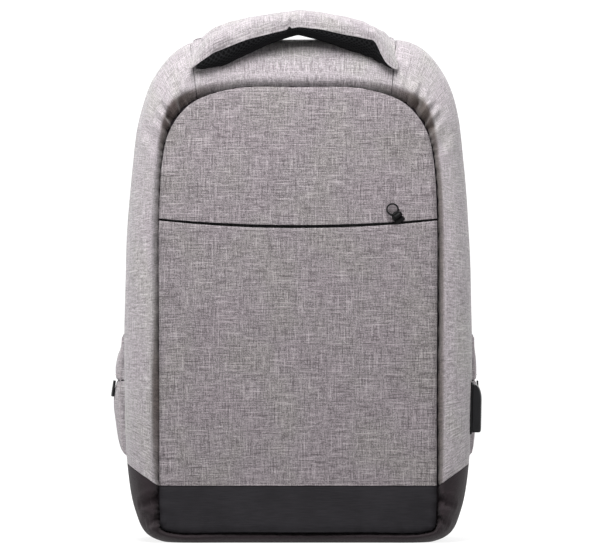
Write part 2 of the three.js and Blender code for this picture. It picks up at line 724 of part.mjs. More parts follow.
// A ribbon of webbing along a curve, with its width's direction at both ends
function addRibbon(name, points, columns, fromSide, toSide) {
  const path = new THREE.CatmullRomCurve3(points, false, "centripetal");
  const surface = (a, b) => {
    const share = Math.min(1, Math.max(0, a));
    const twist = THREE.MathUtils.smoothstep(share, 0.2, 0.5);
    const across = fromSide.clone().lerp(toSide, twist).normalize();
    const centre = path.getPoint(share).addScaledVector(path.getTangent(share), a - share);
    return centre.addScaledVector(across, (b - 0.5) * webbingWide);
  };
  const face = (side) => (a, b) => {
    const out = normalOf(surface, a, b, 0.002);
    return surface(a, b).addScaledVector(out, (side * webbingThick) / 2);
  };
  addPiece(name, sheetSolid(evenly(columns), evenly(1), face(1), face(-1)), blackWeb);
}

// The adjuster under a strap's end, its webbing, and the tab sewn to the lower corner
function addStrapEnd(side, suffix) {
  const path = strapPath(side);
  const end = path.getPoint(1);
  const { down, across, out } = strapDirections(path, 1);
  const middle = end.clone().addScaledVector(down, adjusterDrop);
  const frame = addFrame(middle, across, down.clone().negate(), out.clone().negate());

  const half = adjusterBar * 1.5 + adjusterSlot;
  const slotHalf = webbingWide / 2 + slotClear;
  const outline = new THREE.Shape();
  const corner = adjusterBar / 2;
  const halfWide = adjusterWide / 2;
  outline.moveTo(-halfWide + corner, -half);
  outline.lineTo(halfWide - corner, -half);
  outline.lineTo(halfWide, -half + corner);
  outline.lineTo(halfWide, half - corner);
  outline.lineTo(halfWide - corner, half);
  outline.lineTo(-halfWide + corner, half);
  outline.lineTo(-halfWide, half - corner);
  outline.lineTo(-halfWide, -half + corner);
  for (const way of [-1, 1]) {
    const near = (way * adjusterBar) / 2;
    const far = near + way * adjusterSlot;
    const slot = new THREE.Path();
    slot.moveTo(-slotHalf, near);
    slot.lineTo(slotHalf, near);
    slot.lineTo(slotHalf, far);
    slot.lineTo(-slotHalf, far);
    outline.holes.push(slot);
  }
  const plateGeometry = plate(outline, adjusterThick, 0.8);
  addPiece(`adjuster_${suffix}`, plateGeometry, blackPlastic, frame);

  // both webbings turn round a bar: along is down the strap, lift is out from the back
  const local = (along, lift) =>
    middle.clone().addScaledVector(down, along).addScaledVector(out, lift);
  const bar = adjusterBar + adjusterSlot;
  const clear = adjusterThick / 2 + 1.5 * layerGap + webbingThick / 2;
  const reach = adjusterBar / 2 + layerGap + webbingThick / 2;
  const turn = (way, from) =>
    [-1, 0, 1].map((part) => {
      const round = part === 0 ? 1 : turnShare;
      return local(way * (bar - reach * round), -part * from * clear * turnShare);
    });
  const topStart = -adjusterDrop + 2 * layerGap;
  const legLift = webbingThick / 2 + layerGap;
  const loop = [
    local(topStart, legLift),
    local(-bar - loopLead, clear * 0.8),
    local(-bar, clear),
    ...turn(-1, 1),
    local(-bar, -clear),
    local(-bar - loopLead, -clear * 0.8),
    local(topStart, -legLift),
  ];
  addRibbon(`strap_loop_${suffix}`, loop, 16, across, across);

  // the tab: a wing from the side seam to the webbing
  const seamSpots = [tabFoot, tabFoot + tabWide].map((z) => {
    const spot = rearOutline(rowAtHeight(z), tabInset);
    return point(side * spot.x, 0, spot.z);
  });
  const root = seamSpots[0].clone().lerp(seamSpots[1], 0.5);
  const toward = point(middle.x, 0, middle.z).sub(root).normalize();
  const beside = point(toward.z, 0, -toward.x);
  const tip = root.clone().addScaledVector(toward, tabLong);
  const tipHalf = webbingWide / 2 + tabMargin;
  const corners = [
    seamSpots[0],
    tip.clone().addScaledVector(beside, tipHalf * -side),
    tip.clone().addScaledVector(beside, tipHalf * side),
    seamSpots[1],
  ];
  const wing = new THREE.Shape(corners.map((p) => new THREE.Vector2(p.x, p.z)));
  const wingY = backFaceY + layerGap + tabThick / 2;
  const wingGeometry = plate(wing, tabThick).rotateX(Math.PI / 2).translate(0, wingY, 0);
  addPiece(`tab_${suffix}`, wingGeometry, blackCloth);

  const webbingY = wingY + tabThick / 2 + layerGap + webbingThick / 2;
  const onTab = (share, lift) =>
    root.clone().addScaledVector(toward, tabLong * share).setY(webbingY + lift);
  const lower = [
    onTab(0.15, 0),
    onTab(0.55, 0),
    onTab(0.95, webbingThick / 2),
    local(bar + adjusterBar + tabLead, -clear - tabDroop),
    local(bar, -clear),
    ...turn(1, -1),
    local(bar, clear),
    local(bar + tailLead, clear + tailBow),
    local(bar + webbingTail, clear - tailDroop),
  ];
  const fromSide = beside.clone().multiplyScalar(Math.sign(beside.x));
  addRibbon(`webbing_${suffix}`, lower, 30, fromSide, across);
}

// A side pocket: a pouch below its zip and a flap above it, over one bulge
function addSidePocket(side, suffix, bulge) {
  const high = pocketHead - pocketFoot;
  const zipShare = (pocketZip - pocketFoot) / high;
  const gapShare = sideZipGap / high / 2;
  const face = (up, b, lift) => {
    const round = Math.max(0, Math.sin(Math.PI * b)) ** 0.6;
    const swell = bulge * tableAt(bulgeRows, "up", up, "bulge") * round;
    const behind = mix(pocketFront, pocketRear, b);
    return sideFace(side, behind, mix(pocketFoot, pocketHead, up), layerGap + swell + lift);
  };
  const stops = [0, 0.08, 0.22, 0.5, 0.78, 0.92, 1];
  const sheet = (fromUp, toUp, rows) =>
    sheetSolid(
      evenly(rows),
      stops,
      (a, b) => face(mix(fromUp, toUp, a), b, pocketSheet),
      (a, b) => face(mix(fromUp, toUp, a), b, 0),
    );
  addPiece(`side_pocket_${suffix}`, sheet(0, zipShare - gapShare, 6), greyCloth);
  addPiece(`side_flap_${suffix}`, sheet(zipShare + gapShare, 1, 4), greyCloth);
  const tape = (depth) => (a, b) => {
    const up = zipShare + mix(-2.2, 2.2, a) * gapShare;
    return face(up, b, -2 * layerGap - depth);
  };
  const zip = sheetSolid(evenly(2), stops.slice(2, -2), tape(0), tape(zipTapeThick));
  addPiece(`side_zip_${suffix}`, zip, blackWeb);

  // the zip's pull hangs down over the pouch
  const spot = (up, b) => face(up, b, pocketSheet + layerGap);
  const pullB = 0.42;
  const foot = (pocketZip - sideZipGap / 2 - sidePullLong - pocketFoot) / high;
  const pull = (thick) => (a, b) => {
    const halfShare = sidePullWide / (pocketRear - pocketFront) / 2;
    const narrow = mix(1, 0.55, a);
    const up = mix(foot, zipShare + gapShare * 0.5, a);
    const outward = normalOf(spot, up, pullB).x * side > 0 ? 1 : -1;
    const base = spot(up, pullB + mix(-halfShare, halfShare, b) * narrow);
    return base.addScaledVector(normalOf(spot, up, pullB), outward * thick);
  };
  const pullSolid = sheetSolid(evenly(4), evenly(1), pull(sidePullThick), pull(0));
  addPiece(`side_pull_${suffix}`, pullSolid, blackPlastic);
}

// The charging port: a flange on the gusset and a housing with its socket underneath
function addPort() {
  const frontOf = portBehind - portWide / 2;
  const face = (rim, lift) => (a, b) => {
    const height = mix(portFoot - rim, portFoot + portHigh + rim, a);
    return sideFace(1, mix(frontOf - rim, frontOf + portWide + rim, b), height, lift);
  };
  const flangeBack = face(flangeRim, layerGap);
  const flangeFront = face(flangeRim, layerGap + flangeThick);
  const flange = sheetSolid(evenly(4), evenly(3), flangeFront, flangeBack);
  addPiece("port_flange", flange, blackPlastic);

  const seat = 2 * layerGap + flangeThick;
  const bevelShare = portBevel / portWide;
  const housingFace = (a, b) => {
    const fall = THREE.MathUtils.clamp((a - 0.7) / 0.3, 0, 1);
    const top = mix(0.2, 1, Math.sqrt(1 - fall * fall));
    const edge = Math.min(1, 0.78 + 0.22 * (Math.min(b, 1 - b) / bevelShare));
    return face(0, seat + (portProud - seat) * top * edge)(a, b);
  };
  const across = [0, bevelShare, 0.5, 1 - bevelShare, 1];
  const housing = solidOf(sheetSolid(portStops, across, housingFace, face(0, seat)));
  const socketX = sideFace(1, portBehind, portFoot, (portProud + seat) / 2).x;
  const socket = new THREE.BoxGeometry(socketThick, socketWide, 2 * socketDeep);
  socket.translate(socketX, frontY + portBehind, portFoot);
  addPiece("usb_port", geometryOf(housing.subtract(solidOf(socket))), blackPlastic);
}

addBodyShell();
addFront();
addFrontZip();
addZipPull();
addMainZip();
addMainSliders();
addBack();
addHandle();
addStrap(1, "right");
addStrap(-1, "left");
addStrapEnd(1, "right");
addStrapEnd(-1, "left");
addSidePocket(1, "right", bulgeRight);
addSidePocket(-1, "left", bulgeLeft);
addPort();

export default bag;
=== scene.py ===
import math

import bmesh
import bpy
import numpy as np
from mathutils import Matrix, Vector, noise
from mathutils.kdtree import KDTree


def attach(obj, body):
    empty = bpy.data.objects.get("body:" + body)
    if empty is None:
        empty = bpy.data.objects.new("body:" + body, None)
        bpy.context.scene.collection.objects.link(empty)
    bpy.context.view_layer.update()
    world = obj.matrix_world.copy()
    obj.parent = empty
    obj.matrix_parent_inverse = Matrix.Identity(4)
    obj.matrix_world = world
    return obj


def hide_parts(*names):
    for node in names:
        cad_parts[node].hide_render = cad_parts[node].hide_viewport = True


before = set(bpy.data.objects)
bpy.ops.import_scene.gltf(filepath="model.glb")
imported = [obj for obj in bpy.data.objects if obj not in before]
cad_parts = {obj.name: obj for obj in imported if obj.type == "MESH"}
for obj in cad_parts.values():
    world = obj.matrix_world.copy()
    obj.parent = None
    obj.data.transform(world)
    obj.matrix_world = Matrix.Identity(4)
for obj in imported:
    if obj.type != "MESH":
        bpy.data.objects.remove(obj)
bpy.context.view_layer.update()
mm = 0.001
scene = bpy.context.scene
scene.view_settings.view_transform = "Standard"
print("stage: frame loaded")

# The body's form
bodyForm = {
    "width": 298 * mm,
    "height": 428 * mm,
    "depth": 134 * mm,
    "panelWidth": 238 * mm,
    "panelHeight": 389 * mm,
    "topLean": 32 * mm,  # how far the front leans back at the panel's top
    "seamGap": 0.6 * mm,
    "layerGap": 0.35 * mm,
    "clothThick": 1.3 * mm,
    "frontFootRow": 2.5,
    "backFootRow": 3,
    "baseRow": 5,
    "mouthRow": 8,
    "cornerRow": 11,
    "handleRow": 12,
    "rightSeamRow": 12.24,
    "topRow": 14,
}
rowCount = 2 * bodyForm["topRow"]
frontY = -bodyForm["depth"] / 2
bodyMiddle = Vector((0, 0.005, bodyForm["height"] / 2))

# Half of the front view's outline: the front panel's seam across and up, the widest line
# across and up, as shares of their half widths and heights
outlineTable = [
    (0, 0.022, 0, -0.01),
    (0.5, 0.022, 0.38, -0.01),
    (0.9, 0.022, 0.68, -0.008),
    (0.978, 0.031, 0.87, 0.0145),
    (0.993, 0.066, 0.938, 0.062),
    (0.996, 0.124, 0.984, 0.157),
    (0.996, 0.31, 1.0, 0.296),
    (1.0, 0.515, 1.0, 0.462),
    (1.0, 0.708, 0.985, 0.63),
    (0.98, 0.83, 0.955, 0.755),
    (0.935, 0.897, 0.91, 0.855),
    (0.842, 0.943, 0.828, 0.932),
    (0.725, 0.972, 0.62, 0.9965),
    (0.45, 0.997, 0.37, 1),
    (0, 1, 0, 1),
]
# From the front seam back to the main zip: share of the depth, and spread from seam to side
depthTable = [
    (0.045, 0),
    (0.002, 0.13),
    (-0.01, 0.3),
    (0.014, 0.5),
    (0.07, 0.72),
    (0.17, 0.89),
    (0.33, 0.975),
    (0.55, 1),
    (0.78, 1),
    (1, 0.965),
]


def mix(low, high, share):
    return low + (high - low) * share


def smoothCurve(points, closed=False):
    # an evenly tensioned curve through the points, as a function of shares from 0 to 1
    knots = np.array(points, float)
    count = len(knots)
    spans = count if closed else count - 1
    if not closed:
        knots = np.vstack([2 * knots[0] - knots[1], knots, 2 * knots[-1] - knots[-2]])

    def at(shares):
        shares = np.atleast_1d(np.asarray(shares, float))
        place = (shares % 1 if closed else np.clip(shares, 0, 1)) * spans
        first = np.clip(np.floor(place).astype(int), 0, spans - 1)
        part = (place - first)[:, None]
        if closed:
            p0, p1, p2, p3 = (knots[(first + k) % count] for k in (-1, 0, 1, 2))
        else:
            p0, p1, p2, p3 = (knots[first + k] for k in range(4))
        d1 = np.sqrt(np.linalg.norm(p2 - p1, axis=1, keepdims=True)) + 1e-9
        d0 = np.sqrt(np.linalg.norm(p1 - p0, axis=1, keepdims=True)) + 1e-9
        d2 = np.sqrt(np.linalg.norm(p3 - p2, axis=1, keepdims=True)) + 1e-9
        t1 = ((p1 - p0) / d0 - (p2 - p0) / (d0 + d1) + (p2 - p1) / d1) * d1
        t2 = ((p2 - p1) / d1 - (p3 - p1) / (d1 + d2) + (p3 - p2) / d2) * d1
        square = part * part
        cube = square * part
        return p1 + t1 * part + (3 * (p2 - p1) - 2 * t1 - t2) * square + (2 * (p1 - p2) + t1 + t2) * cube

    return at


def outlineCurve(acrossColumn, upColumn, halfWidth, height):
    half = [(row[acrossColumn] * halfWidth, 0, row[upColumn] * height) for row in outlineTable]
    mirrored = [(-x, y, z) for x, y, z in reversed(half[1:-1])]
    return smoothCurve(half + mirrored, closed=True)


panelCurve = outlineCurve(0, 1, bodyForm["panelWidth"] / 2, bodyForm["panelHeight"])
sideCurve = outlineCurve(2, 3, bodyForm["width"] / 2, bodyForm["height"])
depthCurve = smoothCurve([(back, spread, 0) for back, spread in depthTable])


def leanAt(z):
    return bodyForm["topLean"] * (np.maximum(z, 0) / bodyForm["panelHeight"]) ** 3


def plainBody(row, at):
    row, at = np.broadcast_arrays(np.asarray(row, float), np.asarray(at, float))
    seam = panelCurve(row.ravel() / rowCount)
    side = sideCurve(row.ravel() / rowCount)
    station = depthCurve(np.clip(at.ravel(), 0, 1))
    back, spread = station[:, 0], station[:, 1]
    z = np.maximum(0, mix(seam[:, 2], side[:, 2], spread))
    y = frontY + leanAt(z) * (1 - back) + back * bodyForm["depth"]
    return np.stack([mix(seam[:, 0], side[:, 0], spread), y, z], axis=1)


def unit(vectors):
    return vectors / (np.linalg.norm(vectors, axis=-1, keepdims=True) + 1e-12)


def normalsOf(surface, a, b, step=0.01):
    alongA = surface(a + step, b) - surface(a - step, b)
    alongB = surface(a, np.minimum(1, b + step)) - surface(a, np.maximum(0, b - step))
    return unit(np.cross(alongB, alongA))


# Gathers of the solids, which the cloth keeps: row, place back, depth, size in rows, size back
gatherTable = [
    (10.2, 0.16, 3.4, 0.22, 0.09),
    (11.2, 0.14, 3.0, 0.3, 0.08),
    (4.4, 0.2, 2.2, 0.3, 0.1),
    (16.5, 0.14, 3.0, 0.3, 0.08),
    (17.4, 0.16, 3.2, 0.24, 0.09),
    (23.7, 0.2, 3.0, 0.3, 0.12),
]


def bodyFace(row, at, outward=0.0):
    row, at = np.broadcast_arrays(np.asarray(row, float), np.asarray(at, float))
    row, at = row.ravel(), at.ravel()
    gathered = sum(
        deep * mm * np.exp(-(((row % rowCount) - r) / long) ** 2 - ((at - b) / wide) ** 2)
        for r, b, deep, long, wide in gatherTable
    )
    lift = (outward - gathered)[:, None]
    return plainBody(row, at) + normalsOf(plainBody, row, at) * lift


sideRows = np.linspace(3, bodyForm["handleRow"], 400)
sideHeights = sideCurve(sideRows / rowCount)[:, 2]
backShares = np.linspace(0.25, 1, 400)
backDepths = depthCurve(backShares)[:, 0] * bodyForm["depth"]


def rowAtHeight(z):
    return np.interp(z, sideHeights, sideRows)


def sideFace(side, behind, height, outward):
    row = rowAtHeight(height)
    at = np.interp(behind, backDepths, backShares)
    return bodyFace(row if side > 0 else rowCount - row, at, outward)


def softNoise(points, size, seed=0.0):
    # smooth unevenness from -1 to 1 with lumps of about that size
    shift = Vector((seed * 3.7, seed * 1.9, seed * 5.3))
    return np.array([noise.noise(Vector(p) / size + shift) for p in points])


def lineDistance(points, line):
    # how far each point lies from a polyline, and where along it
    starts, runs = line[:-1], line[1:] - line[:-1]
    lengths = np.linalg.norm(runs, axis=1)
    travelled = np.concatenate([[0], np.cumsum(lengths)[:-1]])
    best = np.full(len(points), 1e9)
    along = np.zeros(len(points))
    for start, run, length, before in zip(starts, runs, lengths, travelled):
        share = np.clip((points - start) @ run / (length * length + 1e-18), 0, 1)
        gap = np.linalg.norm(points - start - share[:, None] * run, axis=1)
        nearer = gap < best
        best[nearer] = gap[nearer]
        along[nearer] = before + share[nearer] * length
    return best, along


# Building blocks
def meshPiece(name, mesh):
    piece = bpy.data.objects.new(name, mesh)
    scene.collection.objects.link(piece)
    return piece


def clothGrid(name, stepsA, stepsB, surface, uvOf, outward):
    # a grid from 0 to 1 both ways, laid on a surface; outward gives the side that shows
    shape = bmesh.new()
    bmesh.ops.create_grid(shape, x_segments=stepsA, y_segments=stepsB, size=0.5)
    mesh = bpy.data.meshes.new(name)
    shape.to_mesh(mesh)
    shape.free()
    spots = np.zeros(len(mesh.vertices) * 3)
    mesh.vertices.foreach_get("co", spots)
    a = spots[0::3] + 0.5
    b = spots[1::3] + 0.5
    places = surface(a, b)
    mesh.vertices.foreach_set("co", places.ravel())
    corners = np.zeros(len(mesh.loops), int)
    mesh.loops.foreach_get("vertex_index", corners)
    uv = np.stack(uvOf(a, b, places), axis=1)
    mesh.uv_layers.new(name="clothUv").data.foreach_set("uv", uv[corners].ravel())
    mesh.update()
    facing = sum(face.normal.dot(outward(face.center)) * face.area for face in mesh.polygons)
    if facing < 0:
        mesh.flip_normals()
    return meshPiece(name, mesh)


def awayFromBody(spot):
    return spot - bodyMiddle


def settle(piece, sharpAngle=50):
    # applies the modifiers, so that the finished mesh is plain geometry
    shown = piece.evaluated_get(bpy.context.evaluated_depsgraph_get())
    mesh = bpy.data.meshes.new_from_object(shown)
    old = piece.data
    piece.modifiers.clear()
    piece.data = mesh
    mesh.name = piece.name
    bpy.data.meshes.remove(old)
    mesh.polygons.foreach_set("use_smooth", [True] * len(mesh.polygons))
    mesh.set_sharp_from_angle(angle=math.radians(sharpAngle))
    return piece


def thicken(piece, thick, offset=-1.0):
    wall = piece.modifiers.new("wall", "SOLIDIFY")
    wall.thickness = thick
    wall.offset = offset
    wall.use_even_offset = False
    return piece


def finish(piece, material, body="bag", replaces=()):
    piece.data.materials.clear()
    piece.data.materials.append(material)
    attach(piece, body)
    if replaces:
        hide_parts(*replaces)
    return piece


def joinShapes(name, parts):
    # several meshes become one piece
    shape = bmesh.new()
    for part in parts:
        shape.from_mesh(part.data)
    mesh = bpy.data.meshes.new(name)
    shape.to_mesh(mesh)
    shape.free()
    for part in parts:
        bpy.data.objects.remove(part)
    return meshPiece(name, mesh)


def tubeAlong(name, points, radius, closed=False, sides=3):
    # a round cord or piping along a line of points
    line = bpy.data.curves.new(name, "CURVE")
    line.dimensions = "3D"
    line.bevel_depth = radius
    line.bevel_resolution = sides
    line.use_fill_caps = not closed
    spline = line.splines.new("POLY")
    spline.points.add(len(points) - 1)
    spline.points.foreach_set("co", np.hstack([points, np.ones((len(points), 1))]).ravel())
    spline.use_cyclic_u = closed
    drawn = bpy.data.objects.new(name, line)
    scene.collection.objects.link(drawn)
    mesh = bpy.data.meshes.new_from_object(drawn.evaluated_get(bpy.context.evaluated_depsgraph_get()))
    mesh.name = name
    bpy.data.objects.remove(drawn)
    mesh.polygons.foreach_set("use_smooth", [True] * len(mesh.polygons))
    return meshPiece(name, mesh)


def flatPlate(name, outlines, thick, bevel, placing):
    # a plate cut to closed outlines, the later ones being its holes, with rounded edges
    line = bpy.data.curves.new(name, "CURVE")
    line.dimensions = "2D"
    line.fill_mode = "BOTH"
    line.extrude = thick / 2 - bevel
    line.bevel_depth = bevel
    line.bevel_resolution = 2
    line.offset = -bevel
    for outline in outlines:
        spline = line.splines.new("POLY")
        spline.points.add(len(outline) - 1)
        for point, (x, y) in zip(spline.points, outline):
            point.co = (x, y, 0, 1)
        spline.use_cyclic_u = True
    drawn = bpy.data.objects.new(name, line)
    scene.collection.objects.link(drawn)
    mesh = bpy.data.meshes.new_from_object(drawn.evaluated_get(bpy.context.evaluated_depsgraph_get()))
    mesh.name = name
    bpy.data.objects.remove(drawn)
    shape = bmesh.new()
    shape.from_mesh(mesh)
    bmesh.ops.remove_doubles(shape, verts=shape.verts, dist=0.01 * mm)
    bmesh.ops.recalc_face_normals(shape, faces=shape.faces)
    bmesh.ops.transform(shape, matrix=placing, verts=shape.verts)
    shape.to_mesh(mesh)
    shape.free()
    mesh.polygons.foreach_set("use_smooth", [True] * len(mesh.polygons))
    mesh.set_sharp_from_angle(angle=math.radians(40))
    return meshPiece(name, mesh)


def arcPoints(centre, radius, fromDegrees, toDegrees, steps):
    angles = np.radians(np.linspace(fromDegrees, toDegrees, steps + 1))
    return [(centre[0] + radius * math.cos(t), centre[1] + radius * math.sin(t)) for t in angles]


def roundedBlock(size, bevel, placing, segments=3):
    shape = bmesh.new()
    bmesh.ops.create_cube(shape, size=1)
    bmesh.ops.scale(shape, vec=size, verts=shape.verts)
    bmesh.ops.bevel(
        shape, geom=shape.edges[:], offset=bevel, affect="EDGES", segments=segments, profile=0.5, material=-1,
    )
    bmesh.ops.transform(shape, matrix=placing, verts=shape.verts)
    mesh = bpy.data.meshes.new("block")
    shape.to_mesh(mesh)
    shape.free()
    mesh.polygons.foreach_set("use_smooth", [True] * len(mesh.polygons))
    mesh.set_sharp_from_angle(angle=math.radians(40))
    return meshPiece("block", mesh)


def roundBar(radius, long, placing, sides=24, bevel=0.0):
    # a cylinder along the placing's Z
    shape = bmesh.new()
    bmesh.ops.create_cone(
        shape, cap_ends=True, segments=sides, radius1=radius, radius2=radius, depth=long,
    )
    if bevel:
        rims = [edge for edge in shape.edges if len(edge.link_faces) == 2 and edge.calc_face_angle() > 1]
        bmesh.ops.bevel(shape, geom=rims, offset=bevel, affect="EDGES", segments=2, profile=0.5, material=-1)
    bmesh.ops.transform(shape, matrix=placing, verts=shape.verts)
    mesh = bpy.data.meshes.new("bar")
    shape.to_mesh(mesh)
    shape.free()
    mesh.polygons.foreach_set("use_smooth", [True] * len(mesh.polygons))
    mesh.set_sharp_from_angle(angle=math.radians(40))
    return meshPiece("bar", mesh)


def basis(origin, alongX, alongY, alongZ):
    return Matrix.LocRotScale(Vector(origin), Matrix((alongX, alongY, alongZ)).transposed().to_3x3(), None)


def repeatShape(name, template, placings):
    # many copies of one small shape, fused into one mesh
    shape = bmesh.new()
    for placing in placings:
        template.data.transform(placing)
        shape.from_mesh(template.data)
        template.data.transform(placing.inverted())
    mesh = bpy.data.meshes.new(name)
    shape.to_mesh(mesh)
    shape.free()
    mesh.polygons.foreach_set("use_smooth", [True] * len(mesh.polygons))
    bpy.data.objects.remove(template)
    return meshPiece(name, mesh)


def evenAlong(points, pitch):
    # places at an even pitch along a line of points, with the direction there
    steps = np.linalg.norm(np.diff(points, axis=0), axis=1)
    travelled = np.concatenate([[0], np.cumsum(steps)])
    count = max(1, int(travelled[-1] / pitch))
    wanted = (np.arange(count) + 0.5) * travelled[-1] / count
    places = np.stack([np.interp(wanted, travelled, points[:, k]) for k in range(3)], axis=1)
    ahead = np.stack([np.interp(wanted + pitch / 4, travelled, points[:, k]) for k in range(3)], axis=1)
    behind = np.stack([np.interp(wanted - pitch / 4, travelled, points[:, k]) for k in range(3)], axis=1)
    return places, unit(ahead - behind)


# Stitches are gathered by thread colour and made at the end
stitching = {"pitch": 3.2 * mm, "long": 2.5 * mm, "radius": 0.33 * mm}
stitchLines = {"grey": [], "dark": [], "black": []}


def stitch(thread, points):
    stitchLines[thread].append(np.asarray(points, float))


def makeStitches(thread, material):
    placings = []
    for line in stitchLines[thread]:
        places, directions = evenAlong(line, stitching["pitch"])
        for place, direction in zip(places, directions):
            turn = Vector(direction).to_track_quat("Z", "Y").to_matrix().to_4x4()
            placings.append(Matrix.Translation(Vector(place)) @ turn)
    single = roundBar(stitching["radius"], stitching["long"], Matrix.Identity(4), sides=6)
    finish(repeatShape(f"stitches_{thread}", single, placings), material)


# Materials
def linearColour(hexText):
    channels = [int(hexText[i : i + 2], 16) / 255 for i in (1, 3, 5)]
    linear = [c / 12.92 if c <= 0.04045 else ((c + 0.055) / 1.055) ** 2.4 for c in channels]
    return (*linear, 1)


def addNode(tree, kind, settings=None, links=None):
    node = tree.nodes.new(kind)
    for key, value in (settings or {}).items():
        if isinstance(key, int) or key in node.inputs:
            node.inputs[key].default_value = value
        else:
            setattr(node, key, value)
    for key, source in (links or {}).items():
        tree.links.new(source, node.inputs[key])
    return node


def newMaterial(name, roughness, metallic=0.0, sheen=0.0, specular=0.5):
    material = bpy.data.materials.new(name)
    material.use_nodes = True
    tree = material.node_tree
    shader = tree.nodes["Principled BSDF"]
    shader.inputs["Roughness"].default_value = roughness
    shader.inputs["Metallic"].default_value = metallic
    shader.inputs["Sheen Weight"].default_value = sheen
    shader.inputs["Specular IOR Level"].default_value = specular
    return material, tree, shader


def setRamp(node, stops):
    ramp = node.color_ramp
    while len(ramp.elements) > 1:
        ramp.elements.remove(ramp.elements[-1])
    ramp.elements[0].position = stops[0][0]
    ramp.elements[0].color = linearColour(stops[0][1])
    for position, colour in stops[1:]:
        ramp.elements.new(position).color = linearColour(colour)


# dark, middle and pale fibres, pale slubs and dark ones, for the shell and for the front; the front's are darker,
# partly as its own tone and partly as painted shade for the weaker light on the front
heatherShell = ("#6c6869", "#918d8f", "#b2aeb0", "#c4bfc1", "#595456")
heatherFrontShaded = ("#4e494b", "#726d6f", "#969193", "#aba5a7", "#3a3436")
heather = {
    "threadWide": 0.95 * mm,  # real threads are 0.4 mm, drawn coarser so that they show
    "threadLong": 8 * mm,
    "slubWide": 1.2 * mm,
    "slubLong": 24 * mm,
    "speckle": 1.2 * mm,
    "weavePitch": 1.5 * mm,  # two real threads
    # the brownish grey multiplied into the cloth beside the front seam is painted shade
    "toneShift": "#9c9089",
}


def melangeCloth(name, palette):
    # plain woven polyester melange: pale and dark fibres in both thread directions, with
    # long slubs, which give the eye a cross-hatched grey that is never one flat tone
    dark, middle, pale, slub, shade = palette
    material, tree, shader = newMaterial(name, 0.92, sheen=0.18, specular=0.25)
    uv = addNode(tree, "ShaderNodeUVMap", {"uv_map": "clothUv"}).outputs["UV"]
    wide, long = 1 / heather["threadWide"], 1 / heather["threadLong"]
    slubWide, slubLong = 1 / heather["slubWide"], 1 / heather["slubLong"]
    tones = []
    for scale, shift, detail in (
        ((long, wide, 1), (0, 0, 0), 2),
        ((wide, long, 1), (7, 3, 0), 2),
        ((slubLong, slubWide, 1), (2, 9, 0), 1),
        ((slubWide, slubLong, 1), (5, 1, 0), 1),
        ((1 / heather["speckle"],) * 3, (0, 0, 0), 1),
    ):
        place = addNode(tree, "ShaderNodeMapping", {"Scale": scale, "Location": shift}, {"Vector": uv})
        tone = addNode(
            tree, "ShaderNodeTexNoise", {"noise_dimensions": "2D", "Scale": 1, "Detail": detail, "Roughness": 0.6},
            {"Vector": place.outputs[0]},
        )
        tones.append(tone.outputs["Fac"])
    weft, warp, slubAcross, slubUp, speckle = tones
    threads = addNode(tree, "ShaderNodeMix", {"data_type": "FLOAT", 0: 0.47}, {2: weft, 3: warp})
    grain = addNode(tree, "ShaderNodeMix", {"data_type": "FLOAT", 0: 0.4}, {2: threads.outputs[0], 3: speckle})
    colour = addNode(tree, "ShaderNodeValToRGB", {}, {"Fac": grain.outputs[0]})
    setRamp(colour, [(0.34, dark), (0.5, middle), (0.66, pale)])
    shown = colour.outputs["Color"]
    for source, low, high, tint, most in (
        (slubAcross, 0.62, 0.74, slub, 0.45),
        (slubUp, 0.63, 0.75, slub, 0.4),
        (slubAcross, 0.36, 0.26, shade, 0.5),
        (slubUp, 0.36, 0.26, shade, 0.45),
    ):
        share = addNode(
            tree, "ShaderNodeMapRange", {"From Min": low, "From Max": high, "To Min": 0.0, "To Max": most},
            {"Value": source},
        )
        blend = addNode(
            tree, "ShaderNodeMix", {"data_type": "RGBA", 7: linearColour(tint)},
            {0: share.outputs[0], 6: shown},
        )
        shown = blend.outputs[2]
    # the dye lot varies a little over a hand's width, from pinkish to greenish grey
    mottle = addNode(
        tree, "ShaderNodeTexNoise", {"noise_dimensions": "2D", "Scale": 1 / 0.045, "Detail": 3}, {"Vector": uv},
    )
    cast = addNode(tree, "ShaderNodeValToRGB", {}, {"Fac": mottle.outputs["Fac"]})
    setRamp(cast, [(0.35, "#faf6f9"), (0.5, "#fcfafb"), (0.65, "#fafaf7")])
    tinted = addNode(
        tree, "ShaderNodeMix", {"data_type": "RGBA", "blend_type": "MULTIPLY", 0: 1.0},
        {6: shown, 7: cast.outputs["Color"]},
    )
    # painted shade: the cloth's colour is darkened and browned where it turns into the front seam, standing in for the
    # shade in the seam's valley
    seamShadeAmount = addNode(tree, "ShaderNodeAttribute", {"attribute_name": "seamDull"})
    toneShift = addNode(
        tree, "ShaderNodeMix", {"data_type": "RGBA", "blend_type": "MULTIPLY", 7: linearColour(heather["toneShift"])},
        {0: seamShadeAmount.outputs["Fac"], 6: tinted.outputs[2]},
    )
    tree.links.new(toneShift.outputs[2], shader.inputs["Base Color"])
    turns = 2 * math.pi / heather["weavePitch"]
    scaled = addNode(
        tree, "ShaderNodeVectorMath", {"operation": "MULTIPLY", 1: (turns, turns, turns)}, {0: uv},
    )
    waves = addNode(tree, "ShaderNodeVectorMath", {"operation": "SINE"}, {0: scaled.outputs[0]})
    parts = addNode(tree, "ShaderNodeSeparateXYZ", {}, {0: waves.outputs[0]})
    weave = addNode(tree, "ShaderNodeMath", {"operation": "MULTIPLY"}, {0: parts.outputs[0], 1: parts.outputs[1]})
    height = addNode(tree, "ShaderNodeMath", {"operation": "MULTIPLY_ADD", 1: 0.25}, {0: weave.outputs[0], 2: grain.outputs[0]})
    bump = addNode(tree, "ShaderNodeBump", {"Strength": 0.55, "Distance": 0.5 * mm}, {"Height": height.outputs[0]})
    tree.links.new(bump.outputs[0], shader.inputs["Normal"])
    return material


